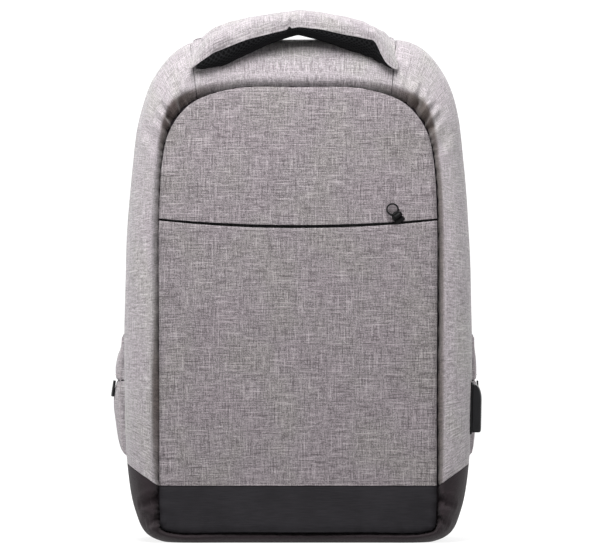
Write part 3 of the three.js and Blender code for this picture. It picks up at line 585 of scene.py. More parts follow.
def blackCloth(name, dark, light, pitch=1.1 * mm):
    # close woven black polyester: faint streaks along the threads and a dry, dusty sheen
    material, tree, shader = newMaterial(name, 0.75, sheen=0.03, specular=0.22)
    uv = addNode(tree, "ShaderNodeUVMap", {"uv_map": "clothUv"}).outputs["UV"]
    place = addNode(
        tree, "ShaderNodeMapping", {"Scale": (1 / (14 * mm), 1 / (0.9 * mm), 1)}, {"Vector": uv},
    )
    streak = addNode(
        tree, "ShaderNodeTexNoise", {"noise_dimensions": "2D", "Scale": 1, "Detail": 2}, {"Vector": place.outputs[0]},
    )
    toneShift = addNode(
        tree, "ShaderNodeTexNoise", {"noise_dimensions": "2D", "Scale": 1 / 0.03, "Detail": 4}, {"Vector": uv},
    )
    tone = addNode(
        tree, "ShaderNodeMix", {"data_type": "FLOAT", 0: 0.45}, {2: streak.outputs["Fac"], 3: toneShift.outputs["Fac"]},
    )
    colour = addNode(tree, "ShaderNodeValToRGB", {}, {"Fac": tone.outputs[0]})
    setRamp(colour, [(0.35, dark), (0.65, light)])
    tree.links.new(colour.outputs["Color"], shader.inputs["Base Color"])
    turns = 2 * math.pi / pitch
    scaled = addNode(
        tree, "ShaderNodeVectorMath", {"operation": "MULTIPLY", 1: (turns, turns, turns)}, {0: uv},
    )
    waves = addNode(tree, "ShaderNodeVectorMath", {"operation": "SINE"}, {0: scaled.outputs[0]})
    parts = addNode(tree, "ShaderNodeSeparateXYZ", {}, {0: waves.outputs[0]})
    weave = addNode(tree, "ShaderNodeMath", {"operation": "MULTIPLY"}, {0: parts.outputs[0], 1: parts.outputs[1]})
    height = addNode(tree, "ShaderNodeMath", {"operation": "MULTIPLY_ADD", 1: 0.3}, {0: weave.outputs[0], 2: tone.outputs[0]})
    bump = addNode(tree, "ShaderNodeBump", {"Strength": 0.5, "Distance": 0.35 * mm}, {"Height": height.outputs[0]})
    tree.links.new(bump.outputs[0], shader.inputs["Normal"])
    return material


def airMesh(name):
    # knitted spacer mesh: lozenge cells with holes between dull black yarns; the holes' near-black is painted shade for
    # their depth
    material, tree, shader = newMaterial(name, 0.9, specular=0.12)
    uv = addNode(tree, "ShaderNodeUVMap", {"uv_map": "clothUv"}).outputs["UV"]
    place = addNode(
        tree, "ShaderNodeMapping",
        {"Scale": (2 * math.pi / (5.8 * mm), 2 * math.pi / (4.2 * mm), 1)}, {"Vector": uv},
    )
    waves = addNode(tree, "ShaderNodeVectorMath", {"operation": "COSINE"}, {0: place.outputs[0]})
    parts = addNode(tree, "ShaderNodeSeparateXYZ", {}, {0: waves.outputs[0]})
    # the sum of two cosines has its tops in a staggered lattice: those are the holes
    lattice = addNode(tree, "ShaderNodeMath", {"operation": "ADD"}, {0: parts.outputs[0], 1: parts.outputs[1]})
    size = addNode(tree, "ShaderNodeMath", {"operation": "ABSOLUTE"}, {0: lattice.outputs[0]})
    hole = addNode(
        tree, "ShaderNodeMapRange", {"From Min": 0.55, "From Max": 1.0, "To Min": 0.0, "To Max": 1.0},
        {"Value": size.outputs[0]},
    )
    fuzz = addNode(
        tree, "ShaderNodeTexNoise", {"noise_dimensions": "2D", "Scale": 1 / (0.8 * mm), "Detail": 2}, {"Vector": uv},
    )
    yarn = addNode(tree, "ShaderNodeValToRGB", {}, {"Fac": fuzz.outputs["Fac"]})
    setRamp(yarn, [(0.35, "#0d0d0e"), (0.65, "#1b1b1d")])
    # painted shade: the holes are coloured darker than the yarn
    colour = addNode(
        tree, "ShaderNodeMix", {"data_type": "RGBA", 7: linearColour("#020203")},
        {0: hole.outputs[0], 6: yarn.outputs["Color"]},
    )
    tree.links.new(colour.outputs[2], shader.inputs["Base Color"])
    depth = addNode(tree, "ShaderNodeMath", {"operation": "MULTIPLY", 1: -1.0}, {0: hole.outputs[0]})
    bump = addNode(tree, "ShaderNodeBump", {"Strength": 0.8, "Distance": 1.0 * mm}, {"Height": depth.outputs[0]})
    tree.links.new(bump.outputs[0], shader.inputs["Normal"])
    return material


def webbing(name, ribPitch):
    # woven polypropylene tape: ribs across its width, whose crests are painted lighter and troughs darker, a painted
    # highlight and shade in fine lines
    material, tree, shader = newMaterial(name, 0.6, sheen=0.05, specular=0.4)
    uv = addNode(tree, "ShaderNodeUVMap", {"uv_map": "clothUv"}).outputs["UV"]
    place = addNode(
        tree, "ShaderNodeMapping", {"Scale": (2 * math.pi / ribPitch, 2 * math.pi / (2.6 * mm), 1)}, {"Vector": uv},
    )
    waves = addNode(tree, "ShaderNodeVectorMath", {"operation": "SINE"}, {0: place.outputs[0]})
    parts = addNode(tree, "ShaderNodeSeparateXYZ", {}, {0: waves.outputs[0]})
    cord = addNode(tree, "ShaderNodeMath", {"operation": "MULTIPLY_ADD", 1: 0.4}, {0: parts.outputs[1], 2: parts.outputs[0]})
    shade = addNode(
        tree, "ShaderNodeMapRange", {"From Min": -1.3, "From Max": 1.3}, {"Value": cord.outputs[0]},
    )
    # painted highlight and shade: the colour follows the ribs' height
    colour = addNode(tree, "ShaderNodeValToRGB", {}, {"Fac": shade.outputs[0]})
    setRamp(colour, [(0.0, "#141415"), (1.0, "#2f2f32")])
    tree.links.new(colour.outputs["Color"], shader.inputs["Base Color"])
    bump = addNode(tree, "ShaderNodeBump", {"Strength": 0.7, "Distance": 0.4 * mm}, {"Height": cord.outputs[0]})
    tree.links.new(bump.outputs[0], shader.inputs["Normal"])
    return material


def grained(name, dark, light, grain, roughness, metallic=0.0, bumpHigh=0.08 * mm, specular=0.5):
    # a fine even grain on solid hardware or thread, read from the piece's own coordinates
    material, tree, shader = newMaterial(name, roughness, metallic=metallic, specular=specular)
    spot = addNode(tree, "ShaderNodeTexCoord").outputs["Object"]
    fine = addNode(tree, "ShaderNodeTexNoise", {"Scale": 1 / grain, "Detail": 3}, {"Vector": spot})
    broad = addNode(tree, "ShaderNodeTexNoise", {"Scale": 1 / (14 * grain), "Detail": 2}, {"Vector": spot})
    tone = addNode(
        tree, "ShaderNodeMix", {"data_type": "FLOAT", 0: 0.5}, {2: fine.outputs["Fac"], 3: broad.outputs["Fac"]},
    )
    colour = addNode(tree, "ShaderNodeValToRGB", {}, {"Fac": tone.outputs[0]})
    setRamp(colour, [(0.38, dark), (0.62, light)])
    tree.links.new(colour.outputs["Color"], shader.inputs["Base Color"])
    rough = addNode(
        tree, "ShaderNodeMapRange",
        {"From Min": 0.3, "From Max": 0.7, "To Min": roughness - 0.06, "To Max": roughness + 0.08},
        {"Value": broad.outputs["Fac"]},
    )
    tree.links.new(rough.outputs[0], shader.inputs["Roughness"])
    bump = addNode(tree, "ShaderNodeBump", {"Strength": 0.6, "Distance": bumpHigh}, {"Height": fine.outputs["Fac"]})
    tree.links.new(bump.outputs[0], shader.inputs["Normal"])
    return material


greyMelange = melangeCloth("greyMelangePolyester", heatherShell)
# the same melange made darker for the front, partly painted shade
shadedFrontMelange = melangeCloth("darkerGreyMelangePaintedShade", heatherFrontShaded)
frontBlack = blackCloth("blueBlackPolyester", "#151317", "#1f1d21")
bootBlack = blackCloth("brownBlackPolyester", "#1b1417", "#281f23")
spacerMesh = airMesh("blackSpacerMesh")
blackTape = webbing("blackPolypropyleneWebbing", 1.7 * mm)
zipTape = webbing("blackZipTape", 1.2 * mm)
mouldedPlastic = grained("blackMouldedAbs", "#0b0b0d", "#131316", 0.5 * mm, 0.5, specular=0.25)  # spark-eroded satin
coatedZinc = grained("blackCoatedZinc", "#050506", "#0a0a0b", 0.7 * mm, 0.6, specular=0.15)  # thick dull lacquer over cast metal
coilNylon = grained("blackNylonCoil", "#18181a", "#262629", 0.5 * mm, 0.45)  # drawn nylon, a little shiny
greyThread = grained("greyPolyesterThread", "#9d9396", "#bcb3b6", 0.4 * mm, 0.7)  # spun thread, dull
darkThread = grained("darkGreyPolyesterThread", "#6d6669", "#868082", 0.4 * mm, 0.7)  # spun thread, dull
blackThread = grained("blackPolyesterThread", "#1a1a1c", "#2a2a2d", 0.4 * mm, 0.65)  # spun thread, dull
socketSteel = grained("bentSteelShell", "#8d9094", "#a9acb0", 0.6 * mm, 0.3, metallic=1.0)  # plated sheet, bright lines
print("stage: materials made")


# The cloth's creases on the body: from and to as row and place back, depth and width in mm
creaseTable = [
    (10.46, 0.0, 10.62, 0.32, 3.4, 2.6),
    (11.1, 0.0, 11.3, 0.3, 3, 2.6),
    (10.1, 0.06, 10.25, 0.3, 1.8, 3.0),
    (11.6, 0.06, 11.85, 0.34, 1.6, 3.6),
    (9.3, 0.08, 9.75, 0.4, 1.3, 5.0),
    (17.5, 0.0, 17.38, 0.32, 3.4, 2.6),
    (16.82, 0.0, 16.62, 0.3, 3.2, 2.6),
    (16.3, 0.06, 16.12, 0.32, 1.5, 3.6),
    (17.95, 0.06, 17.8, 0.3, 1.7, 3.0),
    (18.6, 0.08, 18.2, 0.4, 1.3, 5.0),
    (21.6, 0.1, 22.9, 0.12, 1.9, 5.5),
    (5.3, 0.1, 6.4, 0.13, 1.2, 5.5),
    (19.4, 0.16, 21.0, 0.2, 1.0, 7.0),
    (7.2, 0.18, 8.8, 0.2, 0.9, 7.0),
    (4.55, 0.03, 4.2, 0.4, 3.0, 3.4),
    (3.7, 0.04, 3.5, 0.34, 2.2, 3.2),
    (23.4, 0.03, 23.8, 0.42, 3.4, 3.8),
    (24.3, 0.04, 24.5, 0.34, 2.6, 3.2),
    (24.0, 0.2, 24.6, 0.5, 1.6, 5.0),
]
# Where the shell stands out a little: row, place back, height in mm, size in rows, size back
swellTable = [
    (11.6, 0.62, 4.2, 0.62, 0.32),
    (10.3, 0.62, 2.4, 0.8, 0.32),
    (16.4, 0.62, 1.6, 0.6, 0.32),
    (14, 0.62, 3.6, 1.3, 0.4),
]
softness = {"lumps": 0.8 * mm, "lumpSize": 62 * mm, "pucker": 0.42 * mm, "puckerPitch": 11 * mm, "puckerReach": 0.12,
            "valley": 4.4 * mm, "ridge": 1.8 * mm, "cornerRoll": 1.3, "sideReach": 0.15, "cornerReach": 0.23, "filled": 3.4 * mm}


def creaseLift(places):
    lift = np.zeros(len(places))
    for fromRow, fromAt, toRow, toAt, deep, wide in creaseTable:
        shares = np.linspace(0, 1, 7)
        line = plainBody(mix(fromRow, toRow, shares), mix(fromAt, toAt, shares))
        near = np.linalg.norm(places - line.mean(axis=0), axis=1) < 90 * mm
        if not near.any():
            continue
        gap, along = lineDistance(places[near], line)
        long = np.linalg.norm(np.diff(line, axis=0), axis=1).sum()
        fade = np.sin(np.pi * np.clip(along / long, 0.04, 0.96)) ** 0.5
        gap = gap / (wide * mm)
        valley = -np.exp(-gap * gap)
        ridge = 0.45 * np.exp(-((gap - 1.8) / 0.8) ** 2)
        lift[near] += deep * mm * fade * (valley + ridge)
    return lift


def clothFace(row, at, outward=0.0):
    # the body's face with creases, soft lumps and puckers beside its front seam
    row, at = np.broadcast_arrays(np.asarray(row, float), np.asarray(at, float))
    row, at = row.ravel(), at.ravel()
    plain = plainBody(row, at)
    onGround = np.clip(plain[:, 2] / (12 * mm), 0, 1)
    lumps = softness["lumps"] * softNoise(plain, softness["lumpSize"], 1)
    run = row * 46 * mm / softness["puckerPitch"]
    pucker = np.sin(2 * np.pi * run + 2.5 * softNoise(plain, 40 * mm, 2))
    pucker *= softness["pucker"] * np.exp(-at / softness["puckerReach"])
    swell = sum(
        high * mm * np.exp(-(((row % rowCount) - r) / long) ** 2 - ((at - b) / wide) ** 2)
        for r, b, high, long, wide in swellTable
    )
    lift = outward + (creaseLift(plain) + lumps + pucker + swell) * onGround
    places = bodyFace(row, at, lift)
    fromTop = np.abs(row % rowCount - bodyForm["topRow"])
    corner = np.exp(-(((fromTop - 3.2) / 0.9) ** 2))
    reach = mix(softness["sideReach"], softness["cornerReach"], corner)
    middle = np.exp(-((fromTop / 1.9) ** 4))
    calm = np.maximum(middle, np.clip(((row % rowCount) - 18) / 1.5, 0, 1) * 0.6)
    valley = softness["valley"] * np.maximum(0, 1 - at / reach) ** 1.3
    ridge = softness["ridge"] * (1 + softness["cornerRoll"] * corner) * np.exp(-(((at - reach) / (0.42 * reach)) ** 2))
    filled = softness["filled"] * middle * np.maximum(0, 1 - at / 0.24)
    places[:, 1] += (valley - ridge) * (1 - 0.8 * calm) * onGround - filled
    return places


def shellSurface(fromRow, toRow, rearY=None):
    # a stretch of the body's shell, short of its end seams; rearY carries it on behind the zip
    lastShare = 0.9 if rearY else 1

    def surface(a, b):
        row = mix(fromRow, toRow, a)
        at = np.minimum(1, b / lastShare)
        ahead = unit(plainBody(row + 0.01, at) - plainBody(row - 0.01, at))
        places = clothFace(row, at) + ahead * ((0.5 - a) * bodyForm["seamGap"])[:, None]
        if rearY:
            past = b > lastShare
            places[past, 1] = mix(bodyForm["depth"] / 2, rearY, (b[past] - lastShare) / (1 - lastShare))
        places[:, 2] = np.maximum(0, places[:, 2])
        return places

    return surface


def paintSeamShade(piece, fromRow, toRow):
    # how much painted shade each point of the shell gets beside the front seam, for the shade in the seam's valley: a
    # band along it, wide in the upper corners, faint over the top and down the left side
    mesh = piece.data
    corners = np.zeros(len(mesh.loops), int)
    mesh.loops.foreach_get("vertex_index", corners)
    uv = np.zeros(len(mesh.loops) * 2)
    mesh.uv_layers["clothUv"].data.foreach_get("uv", uv)
    _, depth, length = measure(fromRow, toRow)
    at = np.zeros(len(mesh.vertices))
    row = np.zeros(len(mesh.vertices))
    at[corners] = uv[0::2] / depth
    row[corners] = mix(fromRow, toRow, uv[1::2] / length)
    fromTop = np.abs(row - bodyForm["topRow"])
    corner = np.exp(-(((fromTop - 3.2) / 0.9) ** 2))
    middle = np.exp(-((fromTop / 1.9) ** 4))
    leftSide = np.clip((row - 18) / 1.5, 0, 1)
    leftFold = np.exp(-(((row - 21.9) / 0.9) ** 2))
    reach = mix(0.13, 0.23, corner) * (1 - 0.45 * leftSide * (1 - leftFold))
    most = (1 - 0.95 * middle) * (1 - 0.6 * leftSide * (1 - leftFold))
    dull = most / (1 + np.exp((at - reach) / 0.014))
    mesh.attributes.new("seamDull", "FLOAT", "POINT").data.foreach_set("value", dull)


def measure(fromRow, toRow):
    rows = np.linspace(fromRow, toRow, 60)
    length = np.linalg.norm(np.diff(plainBody(rows, 0.5), axis=0), axis=1).sum()
    across = np.linspace(0, 1, 60)
    depth = np.linalg.norm(np.diff(plainBody(np.full(60, mix(fromRow, toRow, 0.5)), across), axis=0), axis=1).sum()
    return rows, depth, length


def measuredUv(fromRow, toRow):
    _, depth, length = measure(fromRow, toRow)
    return lambda a, b, places: (b * depth, a * length)


zipForm = {"front": bodyForm["depth"] / 2 + 0.6 * mm, "wide": 8 * mm, "sink": 1 * mm}
backFrontY = zipForm["front"] + zipForm["wide"] + bodyForm["seamGap"]
backFaceY = backFrontY + 6 * mm


def buildShell():
    for name, fromRow, toRow, stepsA in (
        ("gusset_right", bodyForm["baseRow"], bodyForm["rightSeamRow"], 154),
        ("gusset_top", bodyForm["rightSeamRow"], rowCount - bodyForm["handleRow"], 80),
        ("gusset_left", rowCount - bodyForm["handleRow"], rowCount - bodyForm["baseRow"], 150),
    ):
        piece = clothGrid(
            name + "_cloth", stepsA, 80, shellSurface(fromRow, toRow), measuredUv(fromRow, toRow), awayFromBody,
        )
        settle(thicken(piece, bodyForm["clothThick"]))
        # painted shade beside the front seam, read by the cloth's material
        paintSeamShade(piece, fromRow, toRow)
        finish(piece, greyMelange, replaces=[name])
    base = bodyForm["baseRow"]
    boot = clothGrid(
        "base_boot_cloth", 200, 84, shellSurface(-base, base, backFrontY - bodyForm["seamGap"]),
        measuredUv(-base, base), awayFromBody,
    )
    settle(thicken(boot, bodyForm["clothThick"]))
    finish(boot, bootBlack, replaces=["base_boot"])


# The front: crowned, leaning back, rolled in along its seam
frontForm = {
    "crown": 6 * mm,
    "roll": 7 * mm,
    "sink": 5 * mm,
    "mouthSag": 6.5 * mm,
    "mouthGap": 2.4 * mm,
    "proud": 2.6 * mm,
    "hem": 1.6 * mm,  # depth of the turned edges at the pocket's mouth
    "hemUp": 0.35 * mm,
    "lipDrop": 1.6 * mm,  # how far the mouth has settled below its place on the solid
    "footSag": 5.6 * mm,  # the panel's foot, so that the mouth gapes in the middle
    "pucker": 0.5 * mm,
    "puckerPitch": 12 * mm,
    "lumps": 0.7 * mm,
}
# Soft dents of the front: across, up, size and depth in mm
dentTable = [
    (96, 322, 22, 1.6),
    (-94, 290, 15, 1.3),
    (70, 290, 26, 0.8),
    (-60, 352, 24, 0.7),
    (-100, 240, 16, 0.9),
    (104, 120, 24, 0.8),
    (-30, 70, 40, 0.7),
    (-108, 16, 9, 2.2),
    (-84, 18, 16, 1.0),
    (-20, 14, 22, 0.8),
    (48, 16, 26, 0.9),
    (100, 20, 14, 1.1),
    (60, 190, 36, 0.6),
]
seamLine = panelCurve(np.linspace(0, 1, 420))[:, (0, 2)]


def frontFace(x, z, inward=0.0):
    across = x / (bodyForm["panelWidth"] / 2)
    crown = frontForm["crown"] * (1 - across * across)
    gap, along = lineDistance(np.stack([x, z], axis=1), seamLine)
    turn = 1 - np.minimum(gap, frontForm["roll"]) / frontForm["roll"]
    sink = frontForm["sink"] * (1 - np.sqrt(np.maximum(0, 1 - turn * turn)))
    return np.stack([x, frontY + leanAt(z) - crown + sink + inward, z], axis=1), gap, along


def frontCloth(x, z, inward=0.0):
    places, gap, along = frontFace(x, z, inward)
    wander = 2.2 * softNoise(places, 45 * mm, 3)
    pucker = np.sin(2 * np.pi * along / frontForm["puckerPitch"] + wander)
    places[:, 1] += frontForm["pucker"] * pucker * np.exp(-gap / (9 * mm))
    places[:, 1] += frontForm["lumps"] * softNoise(places, 75 * mm, 4) * np.minimum(1, gap / (15 * mm))
    for dentX, dentZ, size, deep in dentTable:
        away = np.hypot(x - dentX * mm, z - dentZ * mm) / (size * mm)
        places[:, 1] += deep * mm * np.exp(-away * away)
    return places


def seamAt(row):
    row = np.atleast_1d(np.asarray(row, float))
    run = unit(panelCurve((row + 0.02) / rowCount) - panelCurve((row - 0.02) / rowCount))
    inwards = np.stack([-run[:, 2], np.zeros(len(run)), run[:, 0]], axis=1)
    return panelCurve(row / rowCount) + inwards * bodyForm["seamGap"]


def levelLine(row, sag=0.0):
    left, right = seamAt(rowCount - row)[0], seamAt(row)[0]

    def at(a):
        places = mix(left, right, a[:, None])
        places[:, 2] -= sag * 4 * a * (1 - a)
        return places

    return at


def edgePatch(foot, head, left, right):
    def patch(a, b):
        wide, high = a[:, None], b[:, None]
        ends = np.array([0.0, 1.0])
        (foot0, foot1), (head0, head1) = foot(ends), head(ends)
        flat = mix(mix(foot0, foot1, wide), mix(head0, head1, wide), high)
        return mix(foot(a), head(a), high) + mix(left(b), right(b), wide) - flat

    return patch


def rowAbove(row, lift):
    rows = np.linspace(bodyForm["baseRow"] - 1, bodyForm["topRow"], 900)
    return float(np.interp(seamAt(row)[0][2] + lift, seamAt(rows)[:, 2], rows))


mouthLine = levelLine(bodyForm["mouthRow"], frontForm["mouthSag"])


def mouthAt(x):
    return mouthLine(0.5 + np.atleast_1d(x) / bodyForm["panelWidth"])[:, 2]


def easeEdges(share, amount=0.35):
    # crowds grid lines towards both ends
    return share - amount * np.sin(2 * np.pi * share) / (2 * np.pi)


def frontSurface(patch, proud, hemTop, hemFoot):
    # hemTop and hemFoot are shares of the grid that curl back into a turned edge
    def surface(a, b):
        body = np.clip((b - hemFoot) / (1 - hemTop - hemFoot), 0, 1)
        flat = patch(easeEdges(a), body)
        places = frontCloth(flat[:, 0], flat[:, 2], -proud(body))
        for share, way in ((hemTop, 1), (hemFoot, -1)):
            if not share:
                continue
            into = (b - 1 + share) / share if way > 0 else (share - b) / share
            angle = np.clip(into, 0, 1) * 0.75 * np.pi
            places[:, 2] += way * frontForm["hemUp"] * np.sin(angle)
            places[:, 1] += frontForm["hem"] * (1 - np.cos(angle))
        return places

    return surface


def straightUv(a, b, places):
    return places[:, 0], places[:, 2]


def towardsFront(spot):
    return Vector((0, -1, 0.1))


def sideSeams(fromRow, toRow):
    return (
        lambda b: seamAt(rowCount - mix(fromRow, toRow, b)),
        lambda b: seamAt(mix(fromRow, toRow, b)),
    )


def buildFront():
    mouth, base, corner = bodyForm["mouthRow"], bodyForm["baseRow"], bodyForm["cornerRow"]
    footRow = rowAbove(mouth, frontForm["mouthGap"] - frontForm["lipDrop"])
    arch = lambda a: seamAt(mix(rowCount - corner, corner, a))
    top = edgePatch(levelLine(footRow, frontForm["footSag"]), arch, *sideSeams(footRow, corner))
    noLift = lambda b: b * 0
    pocketFoot = rowAbove(base, bodyForm["seamGap"])
    lipRow = rowAbove(mouth, -frontForm["lipDrop"])
    lip = levelLine(lipRow, frontForm["mouthSag"])
    pocket = edgePatch(levelLine(pocketFoot), lip, *sideSeams(pocketFoot, lipRow))
    foot = bodyForm["frontFootRow"]
    footArc = lambda a: seamAt(mix(rowCount - foot, rowCount + foot, a))
    lower = edgePatch(footArc, levelLine(base), *sideSeams(foot, base))
    for name, patch, stepsB, proud, hems, material, slot in (
        ("front_panel", top, 64, noLift, (0, 0.07), shadedFrontMelange, "grey_heather_cloth"),
        ("front_pocket", pocket, 100, lambda b: frontForm["proud"] * b * b, (0.05, 0), shadedFrontMelange, "grey_heather_cloth"),
        ("front_base", lower, 30, noLift, (0, 0), frontBlack, "black_cloth"),
    ):
        piece = clothGrid(name + "_cloth", 120, stepsB, frontSurface(patch, proud, *hems), straightUv, towardsFront)
        settle(thicken(piece, bodyForm["clothThick"]))
        finish(piece, material, replaces=[name])
    # the front seam's tape closes the valley between front and gusset; its near-black is painted shade for the valley's
    # depth
    rows = np.linspace(0, rowCount, 400, endpoint=False)
    line = plainBody(rows, 0.0) + np.array([0, 4.2 * mm, 0])
    finish(settle(tubeAlong("front_seam_tape", line, 1.9 * mm, closed=True)), seamShadeBlack)
    # topstitch above the black base
    x = np.linspace(-0.47, 0.47, 160) * bodyForm["panelWidth"]
    stitch("dark", frontCloth(x, np.full(160, seamAt(pocketFoot)[0][2] + 4.5 * mm), -0.1 * mm))


def buildFrontZip():
    half = bodyForm["panelWidth"] / 2 - frontForm["roll"]
    depth = 4.7 * mm

    def surface(a, b):
        x = mix(-half, half, a)
        z = mouthAt(x) - frontForm["lipDrop"] + frontForm["mouthGap"] + 5 * mm - 18 * mm * (1 - b)
        return frontFace(x, z, depth)[0]

    tape = clothGrid(
        "front_zip_tape", 80, 4, surface, lambda a, b, places: (places[:, 0], places[:, 2]), towardsFront,
    )
    settle(thicken(tape, 1.0 * mm))
    finish(tape, zipTape, replaces=["front_zip"])
    x = np.linspace(-half, half, 200)
    line = frontFace(x, mouthAt(x) - frontForm["lipDrop"] + 1.2 * mm, depth - 0.9 * mm)[0]
    teeth("front_zip_coil", line, Vector((0, 0, 1)))


def teeth(name, line, across):
    # a nylon coil: short loops set across the tape, by turns a little up and a little down
    places, directions = evenAlong(line, 1.5 * mm)
    placings = []
    for i, (place, direction) in enumerate(zip(places, directions)):
        ahead = Vector(direction)
        side = (across - ahead * across.dot(ahead)).normalized() if isinstance(across, Vector) else None
        up = side.cross(ahead).normalized()
        shift = side * (0.7 * mm if i % 2 else -0.7 * mm)
        placings.append(basis(Vector(place) + shift, ahead, side, up))
    tooth = roundedBlock((0.95 * mm, 3.6 * mm, 1.3 * mm), 0.3 * mm, Matrix.Identity(4), segments=1)
    finish(repeatShape(name, tooth, placings), coilNylon)


# The front zip's slider and its ring pull
pullForm = {
    "fromSeam": 34.5 * mm,
    "wide": 9 * mm,
    "plate": 1.3 * mm,
    "cheek": 1.4 * mm,
    "pin": 1.2 * mm,
    "clear": 0.35 * mm,
    "eyeWall": 0.8 * mm,
    "reach": 7.2 * mm,
    "thick": 1.6 * mm,
    "ring": 10.8 * mm,
    "hole": 8.2 * mm,
    "tilt": 34,
    "rest": 8,
    "flare": 1 * mm,
    "shift": (-0.31 * mm, 0.09 * mm, 0.44 * mm),
    "tailLong": 6 * mm,
    "tailHigh": 1.9 * mm,
}


def buildZipPull():
    form = pullForm
    across = bodyForm["panelWidth"] / 2 - form["fromSeam"]
    height = float(mouthAt(across)[0]) + form["wide"] / 2 + bodyForm["layerGap"]
    spot = lambda dx, dz: Vector(frontFace(np.array([across + dx]), np.array([height + dz]))[0][0])
    # the panel's slope just above the slider, as on the solid
    up = spot(0, 16 * mm) - spot(0, 4 * mm)
    right = spot(6 * mm, 10 * mm) - spot(-6 * mm, 10 * mm)
    out = right.cross(up).normalized()
    tilt = math.radians(form["tilt"])
    along = Vector((-math.sin(tilt), 0, math.cos(tilt)))
    along = (along - out * along.dot(out)).normalized()
    # the shift brings the pin onto the hinge's axis
    seat = spot(0, 0) + out * 2 * bodyForm["layerGap"] + Vector(form["shift"])
    place = basis(seat, along.cross(out), along, out)
    eyeOuter = form["pin"] / 2 + form["clear"] + form["eyeWall"]
    pinLift = form["plate"] + form["clear"] + eyeOuter
    slideTurn = Matrix.Rotation(math.pi / 2, 4, "Y")
    body = [
        roundBar(form["wide"] / 2, form["plate"], place @ Matrix.Translation((0, 0, form["plate"] / 2)), 40, 0.35 * mm),
        roundBar(form["pin"] / 2, form["wide"] - 0.2 * mm, place @ Matrix.Translation((0, 0, pinLift)) @ slideTurn, 20),
    ]
    # a tail from the disc down to the pocket's lip
    nearEnd = eyeOuter + 2 * form["clear"]
    tail = form["tailLong"] - nearEnd
    body.append(roundedBlock(
        (form["wide"], tail, form["tailHigh"]), 0.5 * mm,
        place @ Matrix.Translation((0, -nearEnd - tail / 2, form["tailHigh"] / 2)),
    ))
    cheekHigh = pinLift + form["pin"]
    for side in (-1, 1):
        shift = Matrix.Translation((side * (form["wide"] - form["cheek"]) / 2, 0, cheekHigh / 2))
        body.append(roundedBlock((form["cheek"], 2 * eyeOuter, cheekHigh), 0.4 * mm, place @ shift))
    slider = joinShapes("zip_slider_body", body)
    slider.data.set_sharp_from_angle(angle=math.radians(40))
    finish(slider, coatedZinc, replaces=["zip_slider"])

    eyeHalf = form["wide"] / 2 - form["cheek"] - form["clear"]
    neck = eyeOuter + form["clear"]
    outline = [
        (-eyeHalf, 0),
        (eyeHalf, 0),
        (eyeHalf, neck),
        (form["wide"] / 2, neck + form["flare"]),
        *arcPoints((0, form["reach"]), form["ring"] / 2, 0, 180, 28),
        (-form["wide"] / 2, neck + form["flare"]),
        (-eyeHalf, neck),
    ]
    hole = list(reversed(arcPoints((0, form["reach"]), form["hole"] / 2, 0, 348.75, 31)))
    rest = Matrix.Translation((0, 0, pinLift)) @ Matrix.Rotation(-math.radians(form["rest"]), 4, "X")
    plate = flatPlate("pull_plate", [outline, hole], form["thick"], 0.35 * mm, place @ rest)
    rim = flatPlate(
        "pull_rim",
        [arcPoints((0, form["reach"]), form["ring"] / 2 - 0.05 * mm, 0, 351, 39), list(reversed(arcPoints((0, form["reach"]), form["hole"] / 2, 0, 351, 39)))],
        form["thick"] + 0.5 * mm, 0.3 * mm, place @ rest,
    )
    eye = roundBar(eyeOuter, 2 * eyeHalf, place @ rest @ slideTurn, 28, 0.2 * mm)
    pull = joinShapes("zip_pull_ring", [plate, rim, eye])
    pull.data.set_sharp_from_angle(angle=math.radians(40))
    finish(pull, coatedZinc, body="pull", replaces=["zip_pull"])


# The main zip, hidden behind the gusset
def buildMainZip():
    base = bodyForm["baseRow"]

    def surface(a, b):
        row = mix(base, rowCount - base, a)
        ahead = unit(plainBody(row + 0.01, 1) - plainBody(row - 0.01, 1))
        places = bodyFace(row, 1, -zipForm["sink"]) + ahead * ((1 - 2 * a) * bodyForm["seamGap"])[:, None]
        places[:, 1] = zipForm["front"] + zipForm["wide"] * b
        return places

    long = np.linalg.norm(np.diff(plainBody(np.linspace(base, rowCount - base, 200), 1), axis=0), axis=1).sum()
    tape = clothGrid(
        "main_zip_tape", 300, 4, surface, lambda a, b, places: (b * zipForm["wide"], a * long), awayFromBody,
    )
    settle(thicken(tape, 1.2 * mm))
    finish(tape, zipTape, replaces=["main_zip"])
    rows = np.linspace(base, rowCount - base, 700)
    line = bodyFace(rows, 1, 0.1 * mm - zipForm["sink"])
    line[:, 1] = zipForm["front"] + zipForm["wide"] / 2
    teeth("main_zip_coil", line, Vector((0, 1, 0)))


